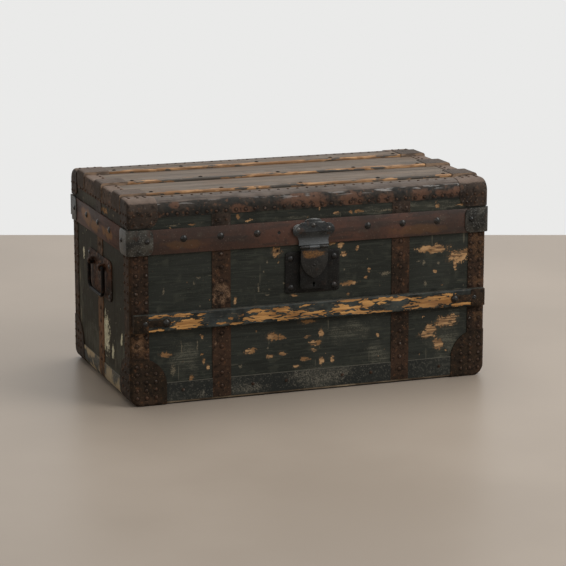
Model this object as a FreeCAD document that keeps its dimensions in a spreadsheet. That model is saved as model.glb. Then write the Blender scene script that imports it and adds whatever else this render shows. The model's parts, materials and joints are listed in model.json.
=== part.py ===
"""A flat-topped travelling trunk: board case and lid, metal bindings, slats, hasp lock and bail handles.

Millimetres. The origin is on the floor under the middle of the case, +X runs along the front,
-Y is the front and +Z is up. The lid is shut, the hasp leaf hangs over the lock and the bails hang.
"""
import FreeCAD, Part
import os
import re
import Sketcher

Vector = FreeCAD.Vector
Rotation = FreeCAD.Rotation

SIZES = {
    # Case of boards
    "case_length": 708,
    "case_depth": 399,
    "board": 11,
    "floor_board": 10,
    "seam_height": 292,
    "edge_round": 5,
    "heel_round": 22,
    # Thin nailed metal on the case
    "tin": 1.2,
    "corner_leg": 36,
    "band_width": 36,
    "band_setback": 176.2,
    "foot_gap": 6,
    "foot_band": 36,
    "cap_gap": 1,
    "cap_width": 70,
    "cap_height": 90,
    "cap_round": 52,
    # Slat across the front and the back
    "slat_gap": 17.5,
    "slat_width": 33,
    "slat_thick": 11,
    "slat_round": 3,
    "slat_inset": 6,
    "slat_cap_sheet": 1.5,
    "slat_cap_length": 28,
    "tongue_length": 34,
    "tongue_width": 13,
    "tongue_disc": 17,
    "stud_width": 13,
    "stud_rise": 3.5,
    "cap_nail_inset": 22,
    # Lid of boards
    "seam_gap": 0.5,
    "lap_clearance": 0.4,
    "lid_height": 91.5,
    "lid_panel": 10,
    "shoulder_round": 22,
    # Rim band, corner clamps and dome nails
    "rim_sheet": 3,
    "rim_rise": 38.5,
    "rim_lap": 8,
    "clamp_sheet": 1.5,
    "clamp_leg": 50,
    "clamp_rise": 1,
    "clamp_round": 12,
    "nail_width": 13,
    "nail_rise": 3,
    "nail_level": 19,
    "nail_first": 110,
    "nail_setback": 58.1,
    "end_nail_setback": 73.6,
    "back_nail_clear": 18,
    "back_nail_pitch": 71,
    # Bindings and caps on the lid's top edges
    "binding_drop": 31,
    "binding_reach": 36,
    "end_binding_reach": 30,
    "lid_cap_leg": 58,
    "lid_cap_gap": 3,
    "lid_cap_reach": 46,
    "lid_cap_round": 20,
    # Slats on the lid
    "lid_slat_width": 46,
    "lid_slat_rise": 5,
    "lid_slat_round": 3.5,
    "lid_slat_gap": 8.5,
    "lid_slat_inset": 6,
    "slat_clamp_sheet": 1.2,
    "slat_clamp_length": 52,
    "slat_clamp_drop": 24,
    "slat_clamp_round": 6,
    "slat_nail_width": 9,
    "slat_nail_rise": 1.5,
    "slat_nail_setback": 13,
    "slat_nail_step": 136,
    "slat_nail_offset": 10,
    # Lock
    "lock_below_seam": 21,
    "lock_width": 108,
    "lock_height": 79,
    "lock_sheet": 2,
    "lock_round": 6,
    "lock_case_width": 54,
    "lock_case_inset": 7,
    "lock_case_height": 64,
    "lock_depth": 8,
    "keyhole_below_leaf": 10.5,
    "keyhole_width": 5,
    "keyhole_slot": 2.4,
    "keyhole_drop": 7,
    "bolt_thick": 2.4,
    "bolt_height": 5,
    "bolt_length": 18,
    "bolt_play": 0.5,
    # Hasp
    "hasp_sheet": 2,
    "hasp_arch": 36,
    "hasp_ear": 12,
    "hasp_ear_spread": 30,
    "hasp_ear_rise": 17,
    "hasp_below_seam": 12,
    "hasp_knuckle": 3.4,
    "hasp_barrel": 20,
    "hasp_pin": 1.5,
    "leaf_width": 54,
    "leaf_length": 59,
    "leaf_sheet": 2.5,
    "leaf_gap": 0.4,
    "leaf_tip": 38,
    "staple_below_hinge": 40,
    "staple_width": 8,
    "staple_height": 12,
    "staple_room": 1.4,
    "staple_wall": 1.6,
    "staple_play": 0.8,
    # Handles on the ends
    "handle_sheet": 2.5,
    "handle_width": 163,
    "handle_below_seam": 42,
    "handle_height": 78,
    "handle_round": 12,
    "bail_wire": 3.5,
    "bail_below_top": 18,
    "bail_standoff": 7.5,
    "bail_half_width": 50,
    "bail_drop": 54,
    "bail_shoulder": 8,
    "bail_foot": 16,
    "bail_overhang": 5,
    "loop_gap": 1,
    "loop_length": 10,
    "loop_wall": 3,
    # Hinges on the back
    "hinge_clear": 3,
    "hinge_width": 50,
    "hinge_sheet": 2,
    "hinge_drop": 34,
    "hinge_rise": 32,
    "hinge_knuckle": 4,
    "hinge_pin": 1.8,
    "pin_head": 1.5,
    # Clearances
    "pin_fit": 0.05,
    "knuckle_gap": 0.4,
}

# Places worked out from the sizes, each a formula of sizes and of other places
PLACES = {
    "half_length": "case_length / 2",
    "half_depth": "case_depth / 2",
    "lid_half_length": "half_length + tin + lap_clearance",
    "lid_half_depth": "half_depth + tin + lap_clearance",
    "lid_bottom": "seam_height + seam_gap",
    "lid_top": "lid_bottom + lid_height",
    "panel_bottom": "lid_top - lid_panel",
    "foot_band_top": "foot_gap + foot_band",
    "band_middle": "half_length + tin - band_setback",
    "lock_top": "seam_height - lock_below_seam",
    "lock_bottom": "lock_top - lock_height",
    "rim_bottom": "lid_bottom - rim_lap",
    "rim_top": "lid_bottom + rim_rise",
    "rim_front": "lid_half_depth + rim_sheet",
    "rim_end": "lid_half_length + rim_sheet",
    "nail_height": "lid_bottom + nail_level",
    "nail_last": "rim_end + clamp_sheet - clamp_leg - nail_setback",
    "nail_pitch": "(nail_last - nail_first) / 2",
    "end_nail_pitch": "rim_front + clamp_sheet - clamp_leg - end_nail_setback",
    "slat_high": "lock_bottom - slat_gap",
    "slat_low": "slat_high - slat_width",
    "slat_level": "slat_high - slat_width / 2",
    "slat_end": "half_length + tin - slat_inset",
    "slat_face": "half_depth + slat_thick",
    "slat_cap_end": "slat_end + slat_cap_sheet",
    "slat_cap_face": "slat_face + slat_cap_sheet",
    "tongue_root": "slat_cap_end - slat_cap_length",
    "tongue_tip": "tongue_root - tongue_length",
    "lid_slat_top": "lid_top + lid_slat_rise",
    "lid_slat_end": "lid_half_length - lid_slat_inset",
    "lid_cap_edge": "lid_half_depth + 2 * tin - lid_cap_reach",
    "lid_slat_pitch": "lid_cap_edge - lid_slat_gap - lid_slat_width / 2",
    "slat_clamp_end": "lid_half_length + tin + slat_clamp_sheet",
    "slat_nail_end": "slat_clamp_end - slat_clamp_length - slat_nail_setback",
    "slat_nail_pitch": "slat_nail_end - slat_nail_step",
    "lock_face": "half_depth + lock_sheet",
    "lock_case_face": "lock_face + lock_depth",
    "lock_case_top": "lock_top - lock_case_inset",
    "lock_case_bottom": "lock_case_top - lock_case_height",
    "hasp_level": "seam_height - hasp_below_seam",
    "leaf_bottom": "hasp_level - leaf_length",
    "tip_level": "leaf_bottom + leaf_tip",
    "tip_shift": "leaf_tip^2 / leaf_width - leaf_width / 4",
    "staple_level": "hasp_level - staple_below_hinge",
    "keyhole_level": "leaf_bottom - keyhole_below_leaf",
    "leaf_back": "lock_case_face + leaf_gap",
    "hasp_axis": "leaf_back + leaf_sheet / 2",
    "hasp_face": "rim_front + hasp_sheet",
    "hasp_neck": "hasp_level + hasp_knuckle + knuckle_gap",
    "arch_foot": "rim_top - hasp_arch",
    "ear_level": "arch_foot + hasp_ear_rise",
    "staple_tip": "lock_face + staple_room",
    "eye_front": "leaf_back - staple_wall",
    "eye_back": "eye_front - bolt_thick - 2 * bolt_play",
    "pocket_half": "staple_width / 2 + staple_play",
    "bolt_start": "pocket_half + bolt_play",
    "handle_face": "half_length + handle_sheet",
    "handle_top": "seam_height - handle_below_seam",
    "handle_bottom": "handle_top - handle_height",
    "bail_level": "handle_top - bail_below_top",
    "bail_axis": "handle_face + bail_standoff",
    "loop_far": "bail_half_width - bail_shoulder - loop_gap",
    "loop_near": "loop_far - loop_length",
    "bail_stub": "loop_near - bail_overhang",
    "hinge_axis": "rim_front + hinge_knuckle + knuckle_gap",
    "hinge_height": "seam_height + seam_gap / 2",
    "hinge_middle": "band_middle + (band_width + hinge_width) / 2 + hinge_clear",
    "hinge_low": "hinge_middle - hinge_width / 2",
    "hinge_high": "hinge_middle + hinge_width / 2",
    "barrel_low": "hinge_middle - hinge_width / 6",
    "barrel_high": "hinge_middle + hinge_width / 6",
}

NAME = re.compile(r"[a-z_]+")
TURNS = {
    "+x": Rotation(Vector(0, 1, 0), 90),
    "-x": Rotation(Vector(0, 1, 0), -90),
    "+y": Rotation(Vector(1, 0, 0), -90),
    "-y": Rotation(Vector(1, 0, 0), 90),
    "+z": Rotation(),
}

doc = FreeCAD.newDocument("trunk")
sheet = doc.addObject("Spreadsheet::Sheet", "sizes")
for row, (alias, millimetres) in enumerate(SIZES.items(), start=1):
    sheet.set(f"A{row}", alias)
    sheet.set(f"B{row}", str(millimetres))
    sheet.setAlias(f"B{row}", alias)
doc.recompute()

subparts = []


def formula(text):
    """Spell a formula out in sheet cells: a place becomes its own formula, a size its cell."""
    def spell(match):
        word = match.group()
        if word in PLACES:
            return f"({formula(PLACES[word])})"
        return f"sizes.{word}" if word in SIZES else word
    return NAME.sub(spell, text)


def bind(item, setting, text):
    """Tie one setting of an object to a formula of the sheet's sizes."""
    item.setExpression(setting, formula(text))


def turn_and_place(item, turn, x, y, z):
    """Turn an object, then tie its position to three formulas."""
    item.Placement = FreeCAD.Placement(Vector(), turn)
    for axis, text in zip("xyz", (x, y, z)):
        bind(item, f"Placement.Base.{axis}", text)


def mirrored_span(text):
    """The span from minus a formula to plus it."""
    return f"-({text})", text


def span(middle, width):
    """The span of a width about a middle."""
    return f"{middle} - ({width}) / 2", f"{middle} + ({width}) / 2"


def box(name, x, y, z):
    """A plain block between the low and high formulas given for each axis."""
    block = doc.addObject("Part::Box", name)
    for setting, (low, high) in zip(("Length", "Width", "Height"), (x, y, z)):
        bind(block, setting, f"({high}) - ({low})")
    turn_and_place(block, Rotation(), x[0], y[0], z[0])
    return block


def straight_edges(shape, axis, ends):
    """Names of a block's straight edges along an axis that lie at the given ends of its other axes."""
    limits = shape.BoundBox
    names = []
    for number, edge in enumerate(shape.Edges, start=1):
        start = edge.Vertexes[0].Point
        finish = edge.Vertexes[-1].Point
        direction = (finish - start).normalize()
        if edge.Curve.TypeId != "Part::GeomLine" or abs(abs(direction[axis]) - 1) > 1e-6:
            continue
        wanted = {place: getattr(limits, place) for place in ends}
        found = {place: start["XYZ".index(place[0])] for place in ends}
        if all(abs(wanted[place] - found[place]) < 1e-3 for place in ends):
            names.append(f"Edge{number}")
    return names


def rounded_box(name, x, y, z, *rounds):
    """A padded block with rounded edges: each round is a radius, the edges' axis and their corners."""
    body = doc.addObject("PartDesign::Body", name)
    sketch = body.newObject("Sketcher::SketchObject", f"{name}_outline")
    plane = next(feature for feature in body.Origin.OriginFeatures if feature.Role == "XY_Plane")
    sketch.AttachmentSupport = [(plane, "")]
    sketch.MapMode = "FlatFace"
    corners = [Vector(0, 0), Vector(2, 0), Vector(2, 1), Vector(0, 1)]
    for start, finish in zip(corners, corners[1:] + corners[:1]):
        sketch.addGeometry(Part.LineSegment(start, finish))
    for side in range(4):
        sketch.addConstraint(Sketcher.Constraint("Coincident", side, 2, (side + 1) % 4, 1))
        sketch.addConstraint(Sketcher.Constraint("Vertical" if side % 2 else "Horizontal", side))
    sketch.addConstraint(Sketcher.Constraint("Coincident", 0, 1, -1, 1))
    lengths = (("DistanceX", "length", x), ("DistanceY", "width", y))
    for side, (kind, label, (low, high)) in enumerate(lengths):
        number = sketch.addConstraint(Sketcher.Constraint(kind, side, 1, side, 2, 1.0 + side))
        sketch.renameConstraint(number, label)
        bind(sketch, f"Constraints.{label}", f"({high}) - ({low})")
    feature = body.newObject("PartDesign::Pad", f"{name}_pad")
    feature.Profile = sketch
    bind(feature, "Length", f"({z[1]}) - ({z[0]})")
    for number, (radius, axis, corners) in enumerate(rounds, start=1):
        doc.recompute()
        edges = [edge for ends in corners for edge in straight_edges(feature.Shape, axis, ends)]
        fillet = body.newObject("PartDesign::Fillet", f"{name}_round_{number}")
        fillet.Base = (feature, edges)
        bind(fillet, "Radius", radius)
        feature = fillet
    body.Tip = feature
    turn_and_place(body, Rotation(), x[0], y[0], z[0])
    return body


def rod(name, along, radius, start, finish, x="0", y="0", z="0"):
    """A round bar along an axis from a start to a finish, about the line through the other two places."""
    bar = doc.addObject("Part::Cylinder", name)
    bind(bar, "Radius", radius)
    bind(bar, "Height", f"({finish}) - ({start})")
    places = {"x": x, "y": y, "z": z, along: start}
    turn_and_place(bar, TURNS[f"+{along}"], places["x"], places["y"], places["z"])
    return bar


def dome(name, facing, width, rise, x, y, z):
    """A domed head that sits on a point and stands out in the facing direction."""
    head = doc.addObject("Part::Sphere", name)
    squares = f"(({width})^2 / 4 + ({rise})^2)"
    depth = f"((({width})^2 / 4 - ({rise})^2) / (2 * ({rise})))"
    bind(head, "Radius", f"{squares} / (2 * ({rise}))")
    bind(head, "Angle1", f"asin((({width})^2 / 4 - ({rise})^2) / {squares})")
    places = {"x": x, "y": y, "z": z}
    sign = "-" if facing[0] == "+" else "+"
    places[facing[1]] = f"{places[facing[1]]} {sign} {depth}"
    turn_and_place(head, TURNS[facing], places["x"], places["y"], places["z"])
    return head


def common(name, first, second):
    """What two solids share."""
    shared = doc.addObject("Part::Common", name)
    shared.Base = first
    shared.Tool = second
    return shared


def fuse(name, *pieces):
    """One solid of several that meet."""
    whole = doc.addObject("Part::MultiFuse", name)
    whole.Shapes = list(pieces)
    return whole


def cut(name, base, *tools):
    """A solid less others."""
    rest = doc.addObject("Part::Cut", name)
    rest.Base = base
    rest.Tool = tools[0] if len(tools) == 1 else fuse(f"{name}_tools", *tools)
    return rest


def group(name, *pieces):
    """Separate solids kept under one name."""
    together = doc.addObject("Part::Compound", name)
    together.Links = list(pieces)
    return together


def mirror(name, source, normal):
    """The mirror image across the plane through the origin with this normal."""
    image = doc.addObject("Part::Mirroring", name)
    image.Source = source
    image.Normal = normal
    return image


ACROSS = Vector(1, 0, 0)
BACKWARD = Vector(0, 1, 0)


def keep(label, item):
    """Name a finished sub-part."""
    item.Label = label
    subparts.append(item)
    return item


def keep_at_corners(label, front_left):
    """Name a front left piece and its images at the other three corners."""
    front_right = mirror(f"{label}_front_right_image", front_left, ACROSS)
    corners = {
        "front_left": front_left,
        "front_right": front_right,
        "back_left": mirror(f"{label}_back_left_image", front_left, BACKWARD),
        "back_right": mirror(f"{label}_back_right_image", front_right, BACKWARD),
    }
    for corner, item in corners.items():
        keep(f"{label}_{corner}", item)
    return corners


def case_form(name, grow):
    """The case's outer shape grown by a sheet thickness, its ends turned up from the floor."""
    ends = [("XMin", "ZMin"), ("XMax", "ZMin")]
    uprights = [("XMin", "YMin"), ("XMax", "YMin"), ("XMin", "YMax"), ("XMax", "YMax")]
    return rounded_box(
        name,
        mirrored_span(f"half_length + {grow}"),
        mirrored_span(f"half_depth + {grow}"),
        (f"-({grow})", "seam_height"),
        (f"heel_round + {grow}", 1, ends),
        (f"edge_round + {grow}", 2, uprights),
    )


def lid_form(name, grow):
    """The lid's outer shape grown by a sheet thickness, with round front and back shoulders."""
    shoulders = [("YMin", "ZMax"), ("YMax", "ZMax")]
    uprights = [("XMin", "YMin"), ("XMax", "YMin"), ("XMin", "YMax"), ("XMax", "YMax")]
    return rounded_box(
        name,
        mirrored_span(f"lid_half_length + {grow}"),
        mirrored_span(f"lid_half_depth + {grow}"),
        ("lid_bottom", f"lid_top + {grow}"),
        (f"shoulder_round + {grow}", 0, shoulders),
        (f"edge_round + {grow}", 2, uprights),
    )


def rim_form(name, grow):
    """The upright column of the lid's plan, over the height of the rim's corner clamps."""
    uprights = [("XMin", "YMin"), ("XMax", "YMin"), ("XMin", "YMax"), ("XMax", "YMax")]
    return rounded_box(
        name,
        mirrored_span(f"lid_half_length + {grow}"),
        mirrored_span(f"lid_half_depth + {grow}"),
        ("rim_bottom", "rim_top + clamp_rise"),
        (f"edge_round + {grow}", 2, uprights),
    )


case_solid = case_form("case_solid", "0")
case_skin = cut("case_skin", case_form("case_bound", "tin"), case_solid)
case_overlap = cut("case_overlap", case_form("case_capped", "2 * tin"), case_solid)
lid_solid = lid_form("lid_solid", "0")
lid_skin = cut("lid_skin", lid_form("lid_bound", "tin"), lid_solid)
lid_overlap = cut("lid_overlap", lid_form("lid_capped", "2 * tin"), lid_solid)
rim_clamped = rim_form("rim_clamped", "rim_sheet + clamp_sheet")
rim_overlap = cut("rim_overlap", rim_clamped, rim_form("rim_core", "0"))

WHOLE_LENGTH = mirrored_span("half_length")
WHOLE_DEPTH = mirrored_span("half_depth")
LID_LENGTH = mirrored_span("lid_half_length")
LID_DEPTH = mirrored_span("lid_half_depth")
FRONT_WALL = ("-half_depth", "-half_depth + board")
LEFT_WALL = ("-half_length", "-half_length + board")
FRONT_SKIN = ("-half_depth - tin", "-half_depth")
LID_FRONT_WALL = ("-lid_half_depth", "-lid_half_depth + board")
LID_LEFT_WALL = ("-lid_half_length", "-lid_half_length + board")
LID_FRONT_SKIN = ("-lid_half_depth - tin", "-lid_half_depth")
LID_LEFT_SKIN = ("-lid_half_length - tin", "-lid_half_length")


def make_case_boards():
    """The floor, the long walls that run past the corners, and the ends between them."""
    walls = ("floor_board", "seam_height")
    between = mirrored_span("half_depth - board")
    floor = box("bottom_stock", WHOLE_LENGTH, WHOLE_DEPTH, ("0", "floor_board"))
    keep("bottom_board", common("bottom_board", floor, case_solid))
    front = common("front_board", box("front_stock", WHOLE_LENGTH, FRONT_WALL, walls), case_solid)
    keep("front_board", front)
    keep("back_board", mirror("back_board", front, BACKWARD))
    left = common("left_end_board", box("left_stock", LEFT_WALL, between, walls), case_solid)
    keep("left_end_board", left)
    keep("right_end_board", mirror("right_end_board", left, ACROSS))


def make_case_bindings():
    """Thin metal angles up the corners, bands up the walls and strips round the bottom between them."""
    corner_x = ("-half_length - tin", "-half_length - tin + corner_leg")
    corner_y = ("-half_depth - tin", "-half_depth - tin + corner_leg")
    corner = box("corner_zone", corner_x, corner_y, ("foot_gap", "seam_height"))
    corners = keep_at_corners("corner_binding", common("corner_binding", case_skin, corner))

    upright = ("foot_gap", "seam_height")
    end_skin = ("-half_length - tin", "-half_length + heel_round")
    left_band = box("front_band_left", span("-band_middle", "band_width"), FRONT_SKIN, upright)
    bands = group("front_bands", left_band, mirror("front_band_right", left_band, ACROSS))
    end_zone = box("end_band_zone", end_skin, span("0", "band_width"), upright)
    end_band = common("end_band_left", case_skin, end_zone)
    keep("front_bands", bands)
    keep("back_bands", mirror("back_bands", bands, BACKWARD))
    keep("end_bands", group("end_bands", end_band, mirror("end_band_right", end_band, ACROSS)))

    foot = ("foot_gap", "foot_band_top")
    long_run = mirrored_span("half_length + tin - corner_leg")
    end_run = mirrored_span("half_depth + tin - corner_leg")
    front_foot = cut("front_foot", box("front_foot_run", long_run, FRONT_SKIN, foot), bands)
    end_foot_run = common("end_foot_run", case_skin, box("end_foot_zone", end_skin, end_run, foot))
    left_foot = cut("left_foot", end_foot_run, end_band)
    back_foot = mirror("back_foot", front_foot, BACKWARD)
    right_foot = mirror("right_foot", left_foot, ACROSS)
    keep("bottom_bands_long", group("bottom_bands_long", front_foot, back_foot))
    keep("bottom_bands_end", group("bottom_bands_end", left_foot, right_foot))
    return corners, front_foot, left_foot, bands, end_band


def make_bottom_caps(corner, front_foot, left_foot):
    """Caps over the bottom corners, with one big round on each leg, seated over the strips below them."""
    tall = ("cap_gap", "cap_gap + cap_height")
    outer_x = "-half_length - 2 * tin"
    outer_y = "-half_depth - 2 * tin"
    deep = "edge_round + heel_round"
    front_leg = rounded_box(
        "cap_front_leg",
        (outer_x, f"{outer_x} + cap_width"),
        (outer_y, f"{outer_y} + {deep}"),
        tall,
        ("cap_round", 1, [("XMax", "ZMax")]),
    )
    end_leg = rounded_box(
        "cap_end_leg",
        (outer_x, f"{outer_x} + {deep}"),
        (outer_y, f"{outer_y} + cap_width"),
        tall,
        ("cap_round", 0, [("YMax", "ZMax")]),
    )
    shell = common("cap_shell", case_overlap, fuse("cap_zone", front_leg, end_leg))
    keep_at_corners("bottom_cap", cut("bottom_cap", shell, corner, front_foot, left_foot))


def make_case_slats(corners, bands):
    """The slat across the front, let in over the metal behind it, its image on the back, and its ends."""
    upright = ("slat_low", "slat_high")
    stock = rounded_box(
        "slat_stock",
        mirrored_span("slat_end"),
        ("-slat_face", "-half_depth"),
        upright,
        ("slat_round", 0, [("YMin", "ZMin"), ("YMin", "ZMax")]),
    )
    slat = cut("front_slat", stock, corners["front_left"], corners["front_right"], bands)
    keep("front_slat", slat)
    keep("back_slat", mirror("back_slat", slat, BACKWARD))

    sheet_y = ("-slat_cap_face", "-slat_face")
    end_y = ("-slat_cap_face", "-half_depth - tin")
    plate = box("cap_plate", ("-slat_cap_end", "-tongue_root"), sheet_y, upright)
    turned = box("cap_return", ("-slat_cap_end", "-slat_end"), end_y, upright)
    tongue = box("cap_tongue", ("-tongue_root", "-tongue_tip"), sheet_y, span("slat_level", "tongue_width"))
    disc = rod("cap_disc", "y", "tongue_disc / 2", *sheet_y, x="-tongue_tip", z="slat_level")
    left = fuse("slat_cap_left", plate, turned, tongue, disc)
    stud = dome("stud", "-y", "stud_width", "stud_rise", "-tongue_tip", "-slat_cap_face", "slat_level")
    nail_x = "-slat_cap_end + cap_nail_inset"
    nail = dome("cap_nail", "-y", "slat_nail_width", "slat_nail_rise", nail_x, "-slat_cap_face", "slat_level")
    for label, pieces in (("slat_caps", [left]), ("slat_studs", [stud, nail])):
        front = pieces + [mirror(f"{piece.Name}_right", piece, ACROSS) for piece in pieces]
        back = [mirror(f"{piece.Name}_back", piece, BACKWARD) for piece in front]
        keep(label, group(label, *front, *back))


def make_lock():
    """The lock's plate, its case with the staple's open pocket and the keyhole, and the sliding bolt."""
    corners = [("XMin", "ZMin"), ("XMax", "ZMin"), ("XMin", "ZMax"), ("XMax", "ZMax")]
    plate = rounded_box(
        "lock_plate",
        span("0", "lock_width"),
        ("-lock_face", "-half_depth"),
        ("lock_bottom", "lock_top"),
        ("lock_round", 1, corners),
    )
    keep("lock_plate", plate)

    depth = ("-lock_case_face", "-lock_face")
    block = rounded_box(
        "lock_block",
        span("0", "lock_case_width"),
        depth,
        ("lock_case_bottom", "lock_case_top"),
        ("lock_round", 1, corners),
    )
    pocket_z = ("staple_level - staple_height / 2 - 2 * staple_play", "lock_case_top")
    pocket = box("staple_pocket", mirrored_span("pocket_half"), depth, pocket_z)
    channel_x = ("0", "bolt_start + bolt_length + bolt_play")
    channel_z = span("staple_level", "bolt_height + 2 * bolt_play")
    channel = box("bolt_channel", channel_x, ("-eye_front", "-eye_back"), channel_z)
    eye = rod("keyhole_eye", "y", "keyhole_width / 2", *depth, z="keyhole_level")
    slot_z = ("keyhole_level - keyhole_drop", "keyhole_level")
    slot = box("keyhole_slot_cut", span("0", "keyhole_slot"), depth, slot_z)
    keep("lock_case", cut("lock_case", block, pocket, channel, eye, slot))

    bolt_y = ("-eye_front + bolt_play", "-eye_back - bolt_play")
    bolt_x = ("bolt_start", "bolt_start + bolt_length")
    keep("lock_bolt", box("lock_bolt", bolt_x, bolt_y, span("staple_level", "bolt_height")))


def make_handles(end_band):
    """The end plates over the middle bands, two loops on each and the bent wire bails that hang in them."""
    corners = [("YMin", "ZMin"), ("YMax", "ZMin"), ("YMin", "ZMax"), ("YMax", "ZMax")]
    stock = rounded_box(
        "handle_stock",
        ("-handle_face", "-half_length"),
        span("0", "handle_width"),
        ("handle_bottom", "handle_top"),
        ("handle_round", 0, corners),
    )
    left_plate = cut("handle_plate_left", stock, end_band)
    right_plate = mirror("handle_plate_right", left_plate, ACROSS)
    keep("handle_plates", group("handle_plates", left_plate, right_plate))

    outer = "bail_wire + pin_fit + loop_wall"
    block = rounded_box(
        "loop_block",
        (f"-bail_axis - ({outer})", "-handle_face"),
        ("loop_near", "loop_far"),
        span("bail_level", f"2 * ({outer})"),
        (f"({outer}) * 0.9", 1, [("XMin", "ZMin"), ("XMin", "ZMax")]),
    )
    wire = {"x": "-bail_axis"}
    bore = rod("loop_bore", "y", "bail_wire + pin_fit", "loop_near", "loop_far", z="bail_level", **wire)
    loop = cut("loop_back_left", block, bore)
    left_loops = [loop, mirror("loop_front_left", loop, BACKWARD)]
    right_loops = [mirror(f"{item.Name}_image", item, ACROSS) for item in left_loops]
    keep("handle_loops", group("handle_loops", *left_loops, *right_loops))

    def bend(name, radius, turn, y, z):
        """A quarter turn of the wire in the plane of the bail."""
        quarter = doc.addObject("Part::Torus", name)
        bind(quarter, "Radius1", radius)
        bind(quarter, "Radius2", "bail_wire")
        quarter.Angle3 = 90
        stand_up = Rotation(Vector(1, 1, 1), 120)
        turn_and_place(quarter, stand_up.multiply(Rotation(Vector(0, 0, 1), turn)), "-bail_axis", y, z)
        return quarter

    shoulder_y = "bail_half_width - bail_shoulder"
    foot_y = "bail_half_width - bail_foot"
    low = "bail_level - bail_drop"
    leg_z = (f"{low} + bail_foot", "bail_level - bail_shoulder")
    half = fuse(
        "bail_half",
        rod("bail_end", "y", "bail_wire", "bail_stub", shoulder_y, z="bail_level", **wire),
        bend("bail_top_bend", "bail_shoulder", 0, shoulder_y, "bail_level - bail_shoulder"),
        rod("bail_leg", "z", "bail_wire", *leg_z, y="bail_half_width", **wire),
        bend("bail_low_bend", "bail_foot", -90, foot_y, f"{low} + bail_foot"),
        rod("bail_grip", "y", "bail_wire", "0", foot_y, z=low, **wire),
    )
    left_bail = fuse("bail_left", half, mirror("bail_front_half", half, BACKWARD))
    keep("bail_left", left_bail)
    keep("bail_right", mirror("bail_right", left_bail, ACROSS))


def make_lid_boards():
    """The lid's long rails, the ends between them and the panel over all four."""
    walls = ("lid_bottom", "panel_bottom")
    between = mirrored_span("lid_half_depth - board")
    front = common("lid_front_rail", box("lid_front_stock", LID_LENGTH, LID_FRONT_WALL, walls), lid_solid)
    keep("lid_front_rail", front)
    keep("lid_back_rail", mirror("lid_back_rail", front, BACKWARD))
    left = common("lid_left_end", box("lid_left_stock", LID_LEFT_WALL, between, walls), lid_solid)
    keep("lid_left_end", left)
    keep("lid_right_end", mirror("lid_right_end", left, ACROSS))
    panel = box("lid_panel_stock", LID_LENGTH, LID_DEPTH, ("panel_bottom", "lid_top"))
    keep("lid_top_panel", common("lid_top_panel", panel, lid_solid))


def make_rim():
    """The rim bands that lap over the case on three sides, their corner clamps and their dome nails."""
    lapping = ("rim_bottom", "rim_top")
    long_run = mirrored_span("lid_half_length - edge_round")
    end_run = mirrored_span("lid_half_depth - edge_round")
    front = box("rim_band_front", long_run, ("-rim_front", "-lid_half_depth"), lapping)
    back = box("rim_band_back", long_run, ("lid_half_depth", "rim_front"), ("lid_bottom", "rim_top"))
    left = box("rim_band_left", ("-rim_end", "-lid_half_length"), end_run, lapping)
    for label, band in (("rim_band_front", front), ("rim_band_back", back), ("rim_band_left", left)):
        keep(label, band)
    keep("rim_band_right", mirror("rim_band_right", left, ACROSS))

    outer_x = "-rim_end - clamp_sheet"
    outer_y = "-rim_front - clamp_sheet"
    tall = ("rim_bottom", "rim_top + clamp_rise")
    front_leg = rounded_box(
        "clamp_front_leg",
        (outer_x, f"{outer_x} + clamp_leg"),
        (outer_y, "-lid_half_depth + edge_round"),
        tall,
        ("clamp_round", 1, [("XMax", "ZMin"), ("XMax", "ZMax")]),
    )
    end_leg = rounded_box(
        "clamp_end_leg",
        (outer_x, "-lid_half_length + edge_round"),
        (outer_y, f"{outer_y} + clamp_leg"),
        tall,
        ("clamp_round", 0, [("YMax", "ZMin"), ("YMax", "ZMax")]),
    )
    shell = common("clamp_shell", rim_overlap, fuse("clamp_zone", front_leg, end_leg))
    clamp = cut("rim_clamp_left", shell, front, left)
    keep("rim_clamps_front", group("rim_clamps_front", clamp, mirror("rim_clamp_right", clamp, ACROSS)))

    lap_y = ("half_depth - board", "rim_front + clamp_sheet")
    back_lap = box("back_lap", (outer_x, "0"), lap_y, ("rim_bottom", "lid_bottom"))
    back_left = cut("rim_clamp_back_left", mirror("rim_clamp_back_image", clamp, BACKWARD), back_lap)
    back_right = mirror("rim_clamp_back_right", back_left, ACROSS)
    keep("rim_clamps_back", group("rim_clamps_back", back_left, back_right))

    def nail(name, facing, x, y):
        """One dome nail in the rim."""
        return dome(name, facing, "nail_width", "nail_rise", x, y, "nail_height")

    nails = []
    for side in "-+":
        for place in range(3):
            along = f"{side}(nail_first + {place} * nail_pitch)"
            across = f"{place - 1} * end_nail_pitch"
            nails.append(nail(f"front_nail_{place}", "-y", along, "-rim_front"))
            nails.append(nail(f"end_nail_{place}", f"{side}x", f"{side}rim_end", across))
        for place in range(2):
            along = f"{side}(hinge_low - back_nail_clear - {place} * back_nail_pitch)"
            nails.append(nail(f"back_nail_{place}", "+y", along, "rim_front"))
    keep("rim_nails", group("rim_nails", *nails))


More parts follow.
